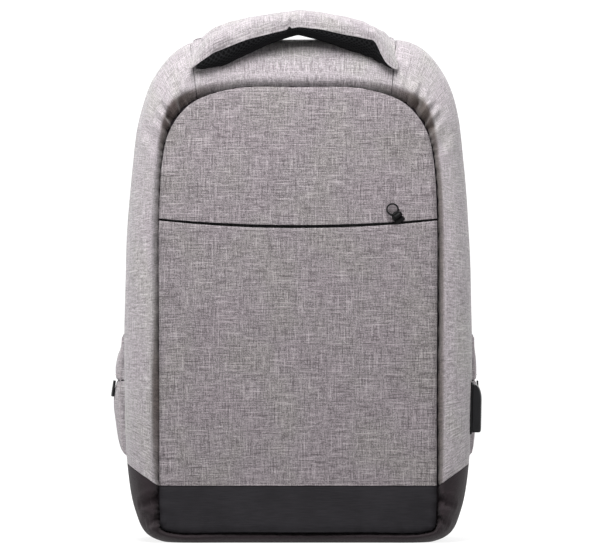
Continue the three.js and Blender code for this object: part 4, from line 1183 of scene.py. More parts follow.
def buildMainSliders():
    for name, row in (("main_slider_upper", 15.55), ("main_slider_lower", 15.95)):
        seat = bodyFace(row, 1, 2 * bodyForm["layerGap"] - zipForm["sink"])[0]
        out = Vector(normalsOf(plainBody, np.array([row]), np.array([1.0]))[0])
        back = Vector((0, 1, 0))
        along = back.cross(out).normalized()
        up = along.cross(back)
        place = basis((seat[0], zipForm["front"] + zipForm["wide"] / 2, seat[2]), along, back, up)
        wing = flatPlate(
            "wing",
            [[(-5 * mm, -2.2 * mm), (-3.4 * mm, -3.5 * mm), (3.4 * mm, -3.5 * mm), (5 * mm, -2.2 * mm),
              (5 * mm, 2.2 * mm), (3.4 * mm, 3.5 * mm), (-3.4 * mm, 3.5 * mm), (-5 * mm, 2.2 * mm)]],
            2.5 * mm, 0.6 * mm, place @ Matrix.Translation((0, 0, 1.3 * mm)),
        )
        bridge = roundedBlock((6.4 * mm, 1.8 * mm, 1.4 * mm), 0.5 * mm, place @ Matrix.Translation((0, 0, 2.9 * mm)))
        tab = flatPlate(
            "tab",
            [
                [(-1.8 * mm, -4 * mm), (1.8 * mm, -4 * mm), (3.5 * mm, 1 * mm),
                 *arcPoints((0, 18.5 * mm), 3.5 * mm, 0, 180, 14), (-3.5 * mm, 1 * mm)],
                list(reversed(arcPoints((0, 18.5 * mm), 1.7 * mm, 0, 337.5, 15))),
            ],
            1.4 * mm, 0.4 * mm, place @ Matrix.Translation((0, 0, 3.2 * mm)),
        )
        slider = joinShapes(name + "_metal", [wing, bridge, tab])
        slider.data.set_sharp_from_angle(angle=math.radians(40))
        finish(slider, coatedZinc, replaces=[name])


# The back
backForm = {
    "inset": 1 * mm,
    "thick": 6 * mm,
    "padThick": 11 * mm,
    "padMargin": 17 * mm,
    "piping": 1.7 * mm,
}
padTable = {
    "back_pad_left": (0.06, 0.48, 0.36, 0.84),
    "back_pad_right": (0.52, 0.94, 0.36, 0.84),
    "back_pad_lumbar": (0.22, 0.78, 0.15, 0.33),
}


def rearOutline(row, inset):
    row = np.atleast_1d(np.asarray(row, float))
    places = bodyFace(row, 1)
    run = bodyFace(row + 0.02, 1) - bodyFace(row - 0.02, 1)
    run[:, 1] = 0
    run = unit(run)
    inwards = np.stack([-run[:, 2], np.zeros(len(run)), run[:, 0]], axis=1)
    places = places + inwards * inset
    places[:, 1] = 0
    return places


def backPatch(inset):
    foot, corner = bodyForm["backFootRow"], bodyForm["cornerRow"]
    line = lambda fromRow, toRow: (lambda share: rearOutline(mix(fromRow, toRow, share), inset))
    return edgePatch(
        line(rowCount - foot, rowCount + foot),
        line(rowCount - corner, corner),
        line(rowCount - foot, rowCount - corner),
        line(foot, corner),
    )


def towardsBack(spot):
    return Vector((0, 1, 0))


def buildBack():
    whole = backPatch(backForm["inset"])

    def backSurface(a, b):
        places = whole(easeEdges(a, 0.6), easeEdges(b, 0.6))
        edge = 1 - np.minimum(1, np.minimum(np.minimum(a, 1 - a), np.minimum(b, 1 - b)) / 0.05)
        fill = 0.6 * mm * softNoise(places, 60 * mm, 6)
        places[:, 1] = backFaceY - 2.2 * mm * (1 - np.sqrt(1 - edge * edge)) + fill * (1 - edge)
        return places

    panel = clothGrid("back_panel_cloth", 90, 110, backSurface, straightUv, towardsBack)
    settle(thicken(panel, 3.6 * mm))
    finish(panel, frontBlack, replaces=["back_panel"])
    foot, corner = bodyForm["backFootRow"], bodyForm["cornerRow"]
    rows = np.linspace(0, rowCount, 360, endpoint=False)
    rim = rearOutline(rows, backForm["inset"] + 0.6 * mm)
    rim[:, 1] = backFaceY - 1.6 * mm
    rim[:, 2] = np.maximum(rim[:, 2], backForm["piping"])
    finish(settle(tubeAlong("back_piping", rim, backForm["piping"], closed=True)), bootBlack)

    inside = backPatch(backForm["padMargin"])
    for name, (left, right, low, high) in padTable.items():
        def domed(a, b, lift=1.0):
            places = inside(mix(left, right, a), mix(low, high, b))
            span = 1 - np.abs(2 * a - 1) ** 5
            rise = 1 - np.abs(2 * b - 1) ** 7
            crown = np.maximum(0, span * rise) ** 0.4
            places[:, 1] = backFaceY + bodyForm["layerGap"] + backForm["padThick"] * lift * crown
            return places

        def padSurface(a, b):
            return domed(easeEdges(a, 0.75), easeEdges(b, 0.75), 0.86)

        pad = clothGrid(name + "_mesh", 72, 84, padSurface, straightUv, towardsBack)
        shape = bmesh.new()
        shape.from_mesh(pad.data)
        rimEdges = [edge for edge in shape.edges if edge.is_boundary]
        bmesh.ops.holes_fill(shape, edges=rimEdges, sides=0)
        shape.to_mesh(pad.data)
        shape.free()
        puffUp([pad], padHeld, padAir)
        channel(pad, (low + high) / 2, inside, left, right, low, high)
        settle(pad)
        finish(pad, spacerMesh, replaces=[name])
        # a binding lies round the pad's foot, sewn down with black thread
        ring = np.linspace(0, 1, 60, endpoint=False)
        sides = [(ring, ring * 0), (ring * 0 + 1, ring), (1 - ring, ring * 0 + 1), (ring * 0, 1 - ring)]
        edgeLine = np.vstack([inside(mix(left, right, a), mix(low, high, b)) for a, b in sides])
        edgeLine[:, 1] = backFaceY + 1.3 * mm
        finish(settle(tubeAlong(name + "_binding", edgeLine, 1.6 * mm, closed=True)), blackTapeCord)


def channel(pad, middle, inside, left, right, low, high):
    # sewn channels press into the swollen pad
    height = inside(np.array([0.5]), np.array([middle]))[0][2]
    for vert in pad.data.vertices:
        depth = max(0.0, (vert.co.y - backFaceY) / backForm["padThick"])
        gap = abs(vert.co.z - height) / (4.2 * mm)
        vert.co.y -= 4.5 * mm * depth * math.exp(-gap * gap)


# Padding by air: a coarse copy swells as cloth, and the finished pieces follow it
padAir = {"voxel": 4.5 * mm, "pressure": 4.0, "cap": 3.0 * mm, "slack": -0.04, "frames": 16}


def padHeld(spot):
    return spot.y < backFaceY + 2.0 * mm


def puffUp(pieces, isHeld, air):
    shape = bmesh.new()
    for piece in pieces:
        shape.from_mesh(piece.data)
    bmesh.ops.remove_doubles(shape, verts=shape.verts, dist=0.2 * mm)
    mesh = bpy.data.meshes.new("air")
    shape.to_mesh(mesh)
    shape.free()
    coarse = meshPiece("air", mesh)
    even = coarse.modifiers.new("even", "REMESH")
    even.mode = "VOXEL"
    even.voxel_size = air["voxel"]
    settle(coarse)
    held = coarse.vertex_groups.new(name="held")
    start = np.array([vert.co for vert in coarse.data.vertices])
    held.add([i for i, spot in enumerate(start) if isHeld(Vector(spot))], 1.0, "REPLACE")
    cloth = coarse.modifiers.new("cloth", "CLOTH")
    cloth.settings.quality = 5
    cloth.settings.use_pressure = True
    cloth.settings.uniform_pressure_force = air["pressure"]
    cloth.settings.shrink_min = air["slack"]
    cloth.settings.vertex_group_mass = "held"
    cloth.settings.effector_weights.gravity = 0
    cloth.collision_settings.use_collision = False
    cloth.point_cache.frame_start = 1
    cloth.point_cache.frame_end = air["frames"]
    for number in range(1, air["frames"] + 1):
        scene.frame_set(number)
    swollen = coarse.evaluated_get(bpy.context.evaluated_depsgraph_get())
    moved = np.array([vert.co for vert in swollen.data.vertices]) - start
    lengths = np.linalg.norm(moved, axis=1, keepdims=True) + 1e-12
    moved *= np.minimum(1, air["cap"] / lengths)
    scene.frame_set(1)
    bpy.data.objects.remove(coarse)
    near = KDTree(len(start))
    for i, spot in enumerate(start):
        near.insert(spot, i)
    near.balance()
    for piece in pieces:
        for vert in piece.data.vertices:
            found = near.find_n(vert.co, 7)
            weights = np.array([1 / (gap + 1.2 * mm) ** 2 for _, _, gap in found])
            shift = (moved[[i for _, i, _ in found]] * weights[:, None]).sum(axis=0) / weights.sum()
            vert.co += Vector(shift)
        piece.data.update()


# Padded strips: the handle and the shoulder straps
def tableColumn(rows, share, column):
    keys = [row[0] for row in rows]
    return np.interp(share, keys, [row[column] for row in rows])


def stripSurface(middle, thickAt, side, fromAngle, toAngle, groove=0.0, widthAt=None):
    # a padded strip's skin: side 1 is its cover and -1 its lining; angles run round the
    # section from the front or first edge over the face to the other edge
    def surface(a, b):
        angle = mix(fromAngle(a), toAngle(a), b)
        across = 0.5 + 0.5 * np.sign(np.cos(angle)) * np.abs(np.cos(angle)) ** 0.8
        lift = np.abs(np.sin(angle)) ** 0.66 * np.sign(np.sin(angle)) * thickAt(a) / 2
        if groove:
            fromEdge = np.minimum(across, 1 - across) * widthAt(a)
            lift *= 1 - groove * np.exp(-((fromEdge - 6.5 * mm) / (1.6 * mm)) ** 2)
        normal = normalsOf(middle, a, np.clip(across, 0.02, 0.98))
        return middle(a, across) + normal * (side * lift)[:, None]

    return surface


handleForm = {
    "leftEnd": -92 * mm,
    "rightEnd": 85 * mm,
    "long": 230 * mm,
    "coverAcross": 62 * mm,
    "liningAcross": 58 * mm,
    "nickAt": 0.4765,
    "nickHigh": 2.4 * mm,
}
# Along the handle: its front edge's place back and height, its rear edge's, how high the
# cover stands above the line between them and how far the lining hangs below it, in mm
handleTable = [
    (0, -38, 403.5, 0, 422.5, 0.6, 1),
    (0.056, -40, 410.8, 2, 424, 11.6, 11),
    (0.115, -40, 417.6, 3, 426, 15.4, 17),
    (0.194, -39, 422.6, 5, 430, 16.2, 15.5),
    (0.273, -38, 427.5, 6, 432, 16.6, 13),
    (0.392, -36.5, 432.6, 8, 434, 17, 8),
    (0.52, -35.5, 438, 9, 437, 15.6, 5),
    (0.628, -35.5, 436, 9, 436, 15.6, 8.6),
    (0.728, -36, 432.2, 8, 435, 14.4, 11),
    (0.826, -38, 429, 6, 432, 13.6, 11.8),
    (0.885, -39, 427.5, 5, 430, 11.4, 15),
    (0.9125, -40, 419, 3, 429, 12.5, 12),
    (0.9435, -40, 408.8, 2, 427.5, 13.4, 6),
    (0.972, -39, 404.5, 1, 426, 8.6, 2.5),
    (1, -38, 403.2, 0, 424.5, 0.8, 1),
]


def smoothColumn(rows, share, column):
    curve = smoothCurve([(row[0], row[column], 0) for row in rows])
    fine = curve(np.linspace(0, 1, 600))
    return np.interp(share, fine[:, 0], fine[:, 1])


def tableAlong(rows, share, column):
    keys = [row[0] for row in rows]
    values = [row[column] for row in rows]
    near = np.linspace(-0.012, 0.012, 7)
    return np.mean([np.interp(share + shift, keys, values) for shift in near], axis=0) * mm


def buildHandle():
    def skin(side, fromDegrees, toDegrees):
        def surface(a, b):
            # the lining ends short of the cover, which closes down over it
            a = a if side > 0 else mix(0.028, 0.972, a)
            frontBack, frontUp, rearBack, rearUp = (tableAlong(handleTable, a, k) for k in (1, 2, 3, 4))
            high = tableAlong(handleTable, a, 5 if side > 0 else 6)
            angle = np.radians(mix(fromDegrees, toDegrees, b))
            across = 0.5 - 0.5 * np.sign(np.cos(angle)) * np.abs(np.cos(angle)) ** 0.8
            lift = side * high * np.abs(np.sin(angle)) ** 0.62
            x = mix(handleForm["leftEnd"], handleForm["rightEnd"], a)
            nick = handleForm["nickHigh"] * np.exp(-(((a - handleForm["nickAt"]) / 0.007) ** 2))
            lift += nick * np.maximum(0, np.cos(angle)) ** 2
            bulge = 3 * mm * np.sin(angle) ** 2 * np.abs(np.cos(angle))
            y = mix(frontBack, rearBack, across) - bulge * np.sign(0.5 - across)
            return np.stack([x, y, mix(frontUp, rearUp, across) + lift], axis=1)

        return surface

    cover = clothGrid(
        "handle_cover_cloth", 150, 44, skin(1, 0, 180),
        lambda a, b, places: (a * handleForm["long"], b * handleForm["coverAcross"]),
        lambda spot: Vector((0, -0.3, 1)),
    )
    lining = clothGrid(
        "handle_lining_mesh", 150, 40, skin(-1, 0, 180),
        lambda a, b, places: (a * handleForm["long"], b * handleForm["liningAcross"]),
        lambda spot: Vector((0, -0.1, -1)),
    )
    low, high = handleForm["leftEnd"] + 12 * mm, handleForm["rightEnd"] - 12 * mm
    puffUp([cover, lining], lambda spot: not low < spot.x < high, handleAir)
    for piece, material, slot, node, high, clear in (
        (cover, greyMelange, "grey_heather_cloth", "handle_cover", 0.9 * mm, 2.6 * mm),
        (lining, spacerMesh, "black_air_mesh", "handle_lining", 0.4 * mm, 0.3 * mm),
    ):
        wrinkle(piece, high, 17 * mm, 7)
        restOn(piece, "gusset_top_cloth", clear)
        settle(thicken(piece, 0.9 * mm))
        finish(piece, material, replaces=[node])


def restOn(piece, belowName, clear):
    # lifts what would sink into the piece below it
    below = bpy.data.objects[belowName]
    for vert in piece.data.vertices:
        fromEnd = min(vert.co.x - handleForm["leftEnd"], handleForm["rightEnd"] - vert.co.x)
        room = mix(min(clear, 0.9 * mm), clear, min(1, max(0, fromEnd - 1 * mm) / (4 * mm)))
        hit, place, _, _ = below.ray_cast(Vector((vert.co.x, vert.co.y, 0.6)), Vector((0, 0, -1)))
        if hit:
            vert.co.z = max(vert.co.z, place.z + room)
    piece.data.update()


handleAir = {"voxel": 4.0 * mm, "pressure": 2.5, "cap": 1.8 * mm, "slack": -0.05, "frames": 14}


def wrinkle(piece, high, size, seed):
    mesh = piece.data
    normals = np.array([vert.normal for vert in mesh.vertices])
    places = np.array([vert.co for vert in mesh.vertices])
    places += normals * (high * softNoise(places, size, seed))[:, None]
    mesh.vertices.foreach_set("co", places.ravel())
    mesh.update()


strapForm = {"wide": 66 * mm, "thick": 13 * mm, "reach": 36 * mm, "webbingWide": 25 * mm, "webbingThick": 1.4 * mm}
# across, behind, up, width, thickness
strapTable = [
    (0.27, 0.085, 0.945, 0.86, 0.36),
    (0.278, 0.24, 0.905, 0.92, 0.8),
    (0.29, 0.48, 0.86, 0.96, 1),
    (0.31, 0.72, 0.8, 1, 1),
    (0.36, 0.94, 0.7, 1, 1),
    (0.43, 1, 0.59, 0.98, 1),
    (0.505, 0.99, 0.48, 0.92, 1),
    (0.575, 0.93, 0.38, 0.8, 0.95),
    (0.625, 0.85, 0.3, 0.66, 0.8),
    (0.65, 0.78, 0.25, 0.58, 0.4),
]


def strapLine(side):
    return smoothCurve(
        [
            (side * across * bodyForm["width"] / 2, backFaceY + behind * strapForm["reach"], up * bodyForm["height"])
            for across, behind, up, _, _ in strapTable
        ]
    )


def strapDirections(line, share):
    step = 0.004
    share = np.clip(np.atleast_1d(share), 0, 1)
    down = unit(line(np.minimum(1, share + step)) - line(np.maximum(0, share - step)))
    sideways = np.array([1.0, 0, 0])
    across = unit(sideways - down * (down @ sideways)[:, None])
    return down, across, -np.cross(down, across)


strapAir = {"voxel": 4.5 * mm, "pressure": 3.0, "cap": 2.2 * mm, "slack": -0.04, "frames": 14}


def buildStrap(side, suffix):
    line = strapLine(side)
    keys = np.linspace(0, 1, len(strapTable))
    widthAt = lambda a: strapForm["wide"] * np.interp(a, keys, [row[3] for row in strapTable])
    thickAt = lambda a: strapForm["thick"] * np.interp(a, keys, [row[4] for row in strapTable])

    def middle(a, b):
        a, b = np.broadcast_arrays(np.asarray(a, float), np.asarray(b, float))
        share = np.clip(a, 0, 1)
        down, across, _ = strapDirections(line, share)
        return line(share) + down * (a - share)[:, None] + across * ((b - 0.5) * widthAt(share))[:, None]

    none = lambda a: np.zeros_like(a)
    half = lambda a: np.full_like(a, math.pi)
    cover = clothGrid(
        f"strap_cover_{suffix}_cloth", 150, 40,
        stripSurface(middle, thickAt, 1, none, half, 0.22, widthAt),
        lambda a, b, places: (b * 80 * mm, a * 340 * mm), lambda spot: Vector((0, 1, 0.2)),
    )
    lining = clothGrid(
        f"strap_lining_{suffix}_mesh", 150, 40,
        stripSurface(middle, thickAt, -1, none, half, 0.15, widthAt),
        lambda a, b, places: (b * 80 * mm, a * 340 * mm), lambda spot: Vector((0, -1, -0.2)),
    )
    for piece in (cover, lining):
        closeEnds(piece)
    top, foot = line([0.0])[0][2] - 6 * mm, line([1.0])[0][2] + 6 * mm
    edges = np.vstack([middle(np.linspace(0, 1, 200), np.full(200, b)) for b in (0.0, 1.0)])
    tree = KDTree(len(edges))
    for i, spot in enumerate(edges):
        tree.insert(spot, i)
    tree.balance()
    puffUp([cover, lining], lambda spot: spot.z > top or spot.z < foot or tree.find(spot)[2] < 3.5 * mm, strapAir)
    for piece, material, slot, node in (
        (cover, greyMelange, "grey_heather_cloth", f"strap_cover_{suffix}"),
        (lining, spacerMesh, "black_air_mesh", f"strap_lining_{suffix}"),
    ):
        wrinkle(piece, 0.5 * mm, 22 * mm, 9 + side)
        settle(piece)
        finish(piece, material, replaces=[node])
    # a binding tape wraps both edges and the ends
    a = np.linspace(0, 1, 120)
    loop = np.vstack([middle(a, np.full(120, 0.0)), middle(np.full(24, 1.0), np.linspace(0, 1, 26)[1:-1]),
                      middle(a[::-1], np.full(120, 1.0)), middle(np.full(24, 0.0), np.linspace(1, 0, 26)[1:-1])])
    finish(settle(tubeAlong(f"strap_binding_{suffix}", loop, 2.1 * mm, closed=True)), blackTapeCord)
    # topstitching in the groove beside the binding
    skin = stripSurface(middle, thickAt, 1, none, half, 0.22, widthAt)
    for b in (0.13, 0.87):
        run = skin(np.linspace(0.03, 0.97, 200), np.full(200, b))
        stitch("grey", run + strapDirections(line, np.linspace(0.03, 0.97, 200))[2] * 0.2 * mm)


def closeEnds(piece):
    # a half skin gets a flat inner face, so that it is a closed body
    shape = bmesh.new()
    shape.from_mesh(piece.data)
    rims = [edge for edge in shape.edges if edge.is_boundary]
    bmesh.ops.holes_fill(shape, edges=rims, sides=0)
    shape.to_mesh(piece.data)
    shape.free()


def ribbon(name, points, fromSide, toSide, steps, thick=None):
    # webbing along a line, with its width's direction at both ends
    line = smoothCurve(points)
    thick = thick or strapForm["webbingThick"]
    fine = line(np.linspace(0, 1, 400))
    long = np.linalg.norm(np.diff(fine, axis=0), axis=1).sum()
    wide = strapForm["webbingWide"]

    def surface(a, b):
        twist = np.clip((a - 0.2) / 0.3, 0, 1)
        twist = (twist * twist * (3 - 2 * twist))[:, None]
        across = unit(mix(np.array(fromSide), np.array(toSide), twist))
        return line(a) + across * ((b - 0.5) * wide)[:, None]

    piece = clothGrid(name, steps, 10, surface, lambda a, b, places: (a * long, b * wide), lambda spot: Vector((0, 1, 0)))
    thicken(piece, thick, 0)
    soft = piece.modifiers.new("soft", "BEVEL")
    soft.width = 0.4 * mm
    soft.segments = 2
    settle(piece)
    return piece


adjusterForm = {
    "wide": 35 * mm,
    "thick": 4 * mm,
    "bar": 4.5 * mm,
    "slot": 4.4 * mm,
    "drop": 24 * mm,
    "turn": 0.87,
}
tabForm = {"foot": 19 * mm, "wide": 40 * mm, "long": 24 * mm, "thick": 2.4 * mm, "inset": 5 * mm, "margin": 1.5 * mm}


def buildStrapEnd(side, suffix):
    line = strapLine(side)
    end = line([1.0])[0]
    down, across, out = (v[0] for v in strapDirections(line, [1.0]))
    form = adjusterForm
    middle = end + down * form["drop"]
    place = basis(middle, across, -down, -out)
    half = form["bar"] * 1.5 + form["slot"]
    slotHalf = strapForm["webbingWide"] / 2 + 1 * mm
    corner = form["bar"] / 2
    halfWide = form["wide"] / 2

    def roundedBox(lowX, lowY, highX, highY, radius):
        return [
            *arcPoints((highX - radius, highY - radius), radius, 0, 90, 5),
            *arcPoints((lowX + radius, highY - radius), radius, 90, 180, 5),
            *arcPoints((lowX + radius, lowY + radius), radius, 180, 270, 5),
            *arcPoints((highX - radius, lowY + radius), radius, 270, 360, 5),
        ]

    outlines = [roundedBox(-halfWide, -half, halfWide, half, corner)]
    for way in (-1, 1):
        near, far = sorted((way * form["bar"] / 2, way * (form["bar"] / 2 + form["slot"])))
        outlines.append(list(reversed(roundedBox(-slotHalf, near, slotHalf, far, 1 * mm))))
    plate = flatPlate("plate", outlines, form["thick"], 0.9 * mm, place)
    ridges = [
        roundedBlock(
            (2 * slotHalf - 4 * mm, 0.8 * mm, 0.9 * mm), 0.3 * mm,
            place @ Matrix.Translation((0, shift * mm, way * (form["thick"] / 2))),
        )
        for shift in (-1.3, 0, 1.3)
        for way in (-1, 1)
    ]
    ladder = joinShapes(f"adjuster_{suffix}_plastic", [plate, *ridges])
    ladder.data.set_sharp_from_angle(angle=math.radians(40))
    finish(ladder, mouldedPlastic, replaces=[f"adjuster_{suffix}"])

    local = lambda along, lift: middle + down * along + out * lift
    thick, gap = strapForm["webbingThick"], bodyForm["layerGap"]
    bar = form["bar"] + form["slot"]
    clear = form["thick"] / 2 + 1.5 * gap + thick / 2
    reach = form["bar"] / 2 + gap + thick / 2
    turn = lambda way, start: [
        local(way * (bar - reach * (1 if part == 0 else form["turn"])), -part * start * clear * form["turn"])
        for part in (-1, 0, 1)
    ]
    topStart = -form["drop"] + 2 * gap
    legLift = thick / 2 + gap
    loop = [
        local(topStart, legLift), local(-bar - 5 * mm, clear * 0.8), local(-bar, clear), *turn(-1, 1),
        local(-bar, -clear), local(-bar - 5 * mm, -clear * 0.8), local(topStart, -legLift),
    ]
    strapLoop = ribbon(f"strap_loop_{suffix}_webbing", loop, across, across, 90)
    finish(strapLoop, blackTape, replaces=[f"strap_loop_{suffix}"])

    seamSpots = []
    for z in (tabForm["foot"], tabForm["foot"] + tabForm["wide"]):
        spot = rearOutline(rowAtHeight(z), tabForm["inset"])[0]
        seamSpots.append(np.array([side * spot[0], 0, spot[2]]))
    root = (seamSpots[0] + seamSpots[1]) / 2
    toward = np.array([middle[0], 0, middle[2]]) - root
    toward /= np.linalg.norm(toward)
    beside = np.array([toward[2], 0, -toward[0]])
    tip = root + toward * tabForm["long"]
    tipHalf = strapForm["webbingWide"] / 2 + tabForm["margin"]
    tipLow, tipHigh = tip + beside * tipHalf * -side, tip + beside * tipHalf * side
    wingY = backFaceY + gap + tabForm["thick"] / 2

    def wing(a, b):
        foot = mix(seamSpots[0], seamSpots[1], b[:, None])
        head = mix(tipLow, tipHigh, b[:, None])
        places = mix(foot, head, a[:, None])
        places[:, 1] = wingY
        return places

    # the seam spots run up, and so must the tip's
    if abs(tipLow[2] - seamSpots[0][2]) > abs(tipHigh[2] - seamSpots[0][2]):
        tipLow, tipHigh = tipHigh, tipLow
    tab = clothGrid(f"tab_{suffix}_cloth", 20, 24, wing, straightUv, towardsBack)
    thicken(tab, tabForm["thick"], 0)
    soft = tab.modifiers.new("soft", "BEVEL")
    soft.width = 0.8 * mm
    soft.segments = 3
    settle(tab)
    finish(tab, bootBlack, replaces=[f"tab_{suffix}"])

    webbingY = wingY + tabForm["thick"] / 2 + gap + thick / 2
    def onTab(share, lift):
        spot = root + toward * tabForm["long"] * share
        spot[1] = webbingY + lift
        return spot

    lower = [
        onTab(0.15, 0), onTab(0.55, 0), onTab(0.95, thick / 2),
        local(bar + form["bar"] + 8 * mm, -clear - 3 * mm), local(bar, -clear), *turn(1, -1),
        local(bar, clear), local(bar + 14 * mm, clear + 0.6 * mm), local(bar + 50 * mm, clear - 2 * mm),
    ]
    fromSide = beside * np.sign(beside[0])
    tail = ribbon(f"webbing_{suffix}_webbing", lower, fromSide, across, 150)
    finish(tail, blackTape, replaces=[f"webbing_{suffix}"])
    # box and cross stitching holds the webbing on its tab
    skinY = webbingY + thick / 2 + 0.1 * mm
    def tabSpot(share, sideways):
        spot = root + toward * tabForm["long"] * share + beside * sideways
        spot[1] = skinY
        return spot

    corners = [tabSpot(0.22, -9 * mm), tabSpot(0.22, 9 * mm), tabSpot(0.8, 9 * mm), tabSpot(0.8, -9 * mm)]
    for first, second in ((0, 1), (1, 2), (2, 3), (3, 0), (0, 2), (1, 3)):
        stitch("black", np.array([mix(corners[first], corners[second], t) for t in np.linspace(0, 1, 12)]))


# Side pockets
pocketForm = {
    "sheet": 2 * mm,
    "front": 76 * mm,
    "rear": 127 * mm,
    "foot": 72 * mm,
    "zip": 137 * mm,
    "head": 178 * mm,
    "gap": 0.9 * mm,  # the hems nearly meet over the zip
    "pullLong": 14 * mm,
    "pullWide": 8 * mm,
}
bulgeTable = [
    (0, 0.12),
    (0.06, 0.42),
    (0.15, 0.66),
    (0.28, 0.84),
    (0.41, 1),
    (0.52, 0.9),
    (0.6, 0.64),
    (0.7, 0.75),
    (0.8, 0.55),
    (0.9, 0.12),
    (1, 0),
]


def buildSidePocket(side, suffix, bulge, pullThick):
    form = pocketForm
    high = form["head"] - form["foot"]
    zipShare = (form["zip"] - form["foot"]) / high
    gapShare = form["gap"] / high / 2
    gap = bodyForm["layerGap"]
    sunk = form["sheet"] + gap  # the pocket's borders are sewn down flat on the body

    def face(up, b, lift):
        up, b = np.broadcast_arrays(np.asarray(up, float), np.asarray(b, float))
        around = np.maximum(0, np.sin(np.pi * b)) ** 0.6
        swell = bulge * smoothColumn(bulgeTable, up, 1) * around
        border = np.minimum(np.minimum(b, 1 - b) * 14, np.minimum(up, 1 - up) * 16)
        lift = lift - sunk * np.maximum(0, 1 - np.clip(border, 0, 1) ** 0.5)
        folds = 0.5 * mm * np.sin(2 * np.pi * (b * 4.3 + 0.6 * up)) * around * np.sin(np.pi * up)
        return sideFace(side, mix(form["front"], form["rear"], b), mix(form["foot"], form["head"], up), gap + swell + lift + folds)

    outward = lambda spot: Vector((side, 0, 0))
    uvOf = lambda a, b, places: (places[:, 1], places[:, 2])
    for name, fromUp, toUp, steps in (
        ("side_pocket", 0, zipShare - gapShare, 46),
        ("side_flap", zipShare + gapShare, 1, 32),
    ):
        def sheet(a, b):
            up = mix(fromUp, toUp, a)
            # the edges at the zip turn in to a soft hem
            hem = (toUp - up if name == "side_pocket" else up - fromUp) * high / (1.6 * mm)
            turnIn = 1.1 * mm * (1 - np.sqrt(np.maximum(0, 1 - np.maximum(0, 1 - hem) ** 2)))
            return face(up, b, form["sheet"] - turnIn)

        piece = clothGrid(f"{name}_{suffix}_cloth", steps, 44, sheet, uvOf, outward)
        settle(thicken(piece, bodyForm["clothThick"]))
        finish(piece, greyMelange, replaces=[f"{name}_{suffix}"])
    tapeHalf = 3.2 * mm / high
    tapeAt = lambda lift: (lambda a, b: face(zipShare + mix(-tapeHalf, tapeHalf, a), mix(0.04, 0.96, b), lift))
    tape = clothGrid(f"side_zip_{suffix}_tape", 8, 30, tapeAt(-2 * gap), lambda a, b, p: (p[:, 2], p[:, 1]), outward)
    settle(thicken(tape, 1.0 * mm))
    finish(tape, zipTape, replaces=[f"side_zip_{suffix}"])
    b = np.linspace(0.06, 0.94, 70)
    teeth(f"side_zip_{suffix}_coil", face(np.full(len(b), zipShare), b, 0.2 * mm), Vector((0, 0, 1)))
    # topstitching along both hems and down the pocket's sides
    for up in (zipShare - 4.8 * mm / high, zipShare + 4.8 * mm / high):
        stitch("grey", face(np.full(60, up), np.linspace(0.04, 0.96, 60), form["sheet"] + 0.2 * mm))
    for edge in (0.05, 0.95):
        stitch("grey", face(np.linspace(0.02, 0.97, 90), np.full(90, edge), form["sheet"] + 0.2 * mm))

    # the zip's pull hangs over the pouch
    spot = lambda up, b: face(up, b, form["sheet"] + gap)
    pullB = 0.42
    low = (form["zip"] - form["gap"] / 2 - form["pullLong"] - form["foot"]) / high
    halfShare = form["pullWide"] / (form["rear"] - form["front"]) / 2
    base = spot(np.array([mix(low, zipShare, 0.5)]), np.array([pullB]))[0]
    up = unit(spot(np.array([zipShare]), np.array([pullB])) - spot(np.array([low]), np.array([pullB])))[0]
    forward = unit(spot(np.array([low]), np.array([pullB + halfShare])) - spot(np.array([low]), np.array([pullB - halfShare])))[0]
    out = np.cross(forward, up) * 1.0
    if out[0] * side < 0:
        out = -out
    xAxis = np.cross(up, out)
    place = basis(base + out * pullThick / 2, xAxis, up, out)
    long, wide = form["pullLong"] / 2, form["pullWide"] / 2
    outline = [
        (-wide * 0.55, long), *arcPoints((wide - 2 * mm, -long + 2 * mm), 2 * mm, 360, 270, 5),
        *arcPoints((-wide + 2 * mm, -long + 2 * mm), 2 * mm, 270, 180, 5),
    ]
    outline = [(wide * 0.55, long), *outline[1:], (-wide * 0.55, long)]
    plate = flatPlate("plate", [outline], pullThick, 0.45 * mm, place)
    ridges = [
        roundedBlock((wide * 1.3, 0.8 * mm, 0.5 * mm), 0.2 * mm, place @ Matrix.Translation((0, (k - 4) * mm, pullThick / 2 - 0.1 * mm)))
        for k in (0, 2, 4)
    ]
    pull = joinShapes(f"side_pull_{suffix}_plastic", [plate, *ridges])
    pull.data.set_sharp_from_angle(angle=math.radians(40))
    finish(pull, mouldedPlastic, replaces=[f"side_pull_{suffix}"])


# Charging port
portForm = {
    "foot": 94 * mm,
    "high": 40.5 * mm,
    "wide": 27 * mm,
    "behind": 50 * mm,
    "proud": 9 * mm,
    "bevel": 2 * mm,
    "flange": 1.4 * mm,
    "rim": 1.8 * mm,
    "socketWide": 13 * mm,
    "socketThick": 5 * mm,
    "socketDeep": 17 * mm,
}


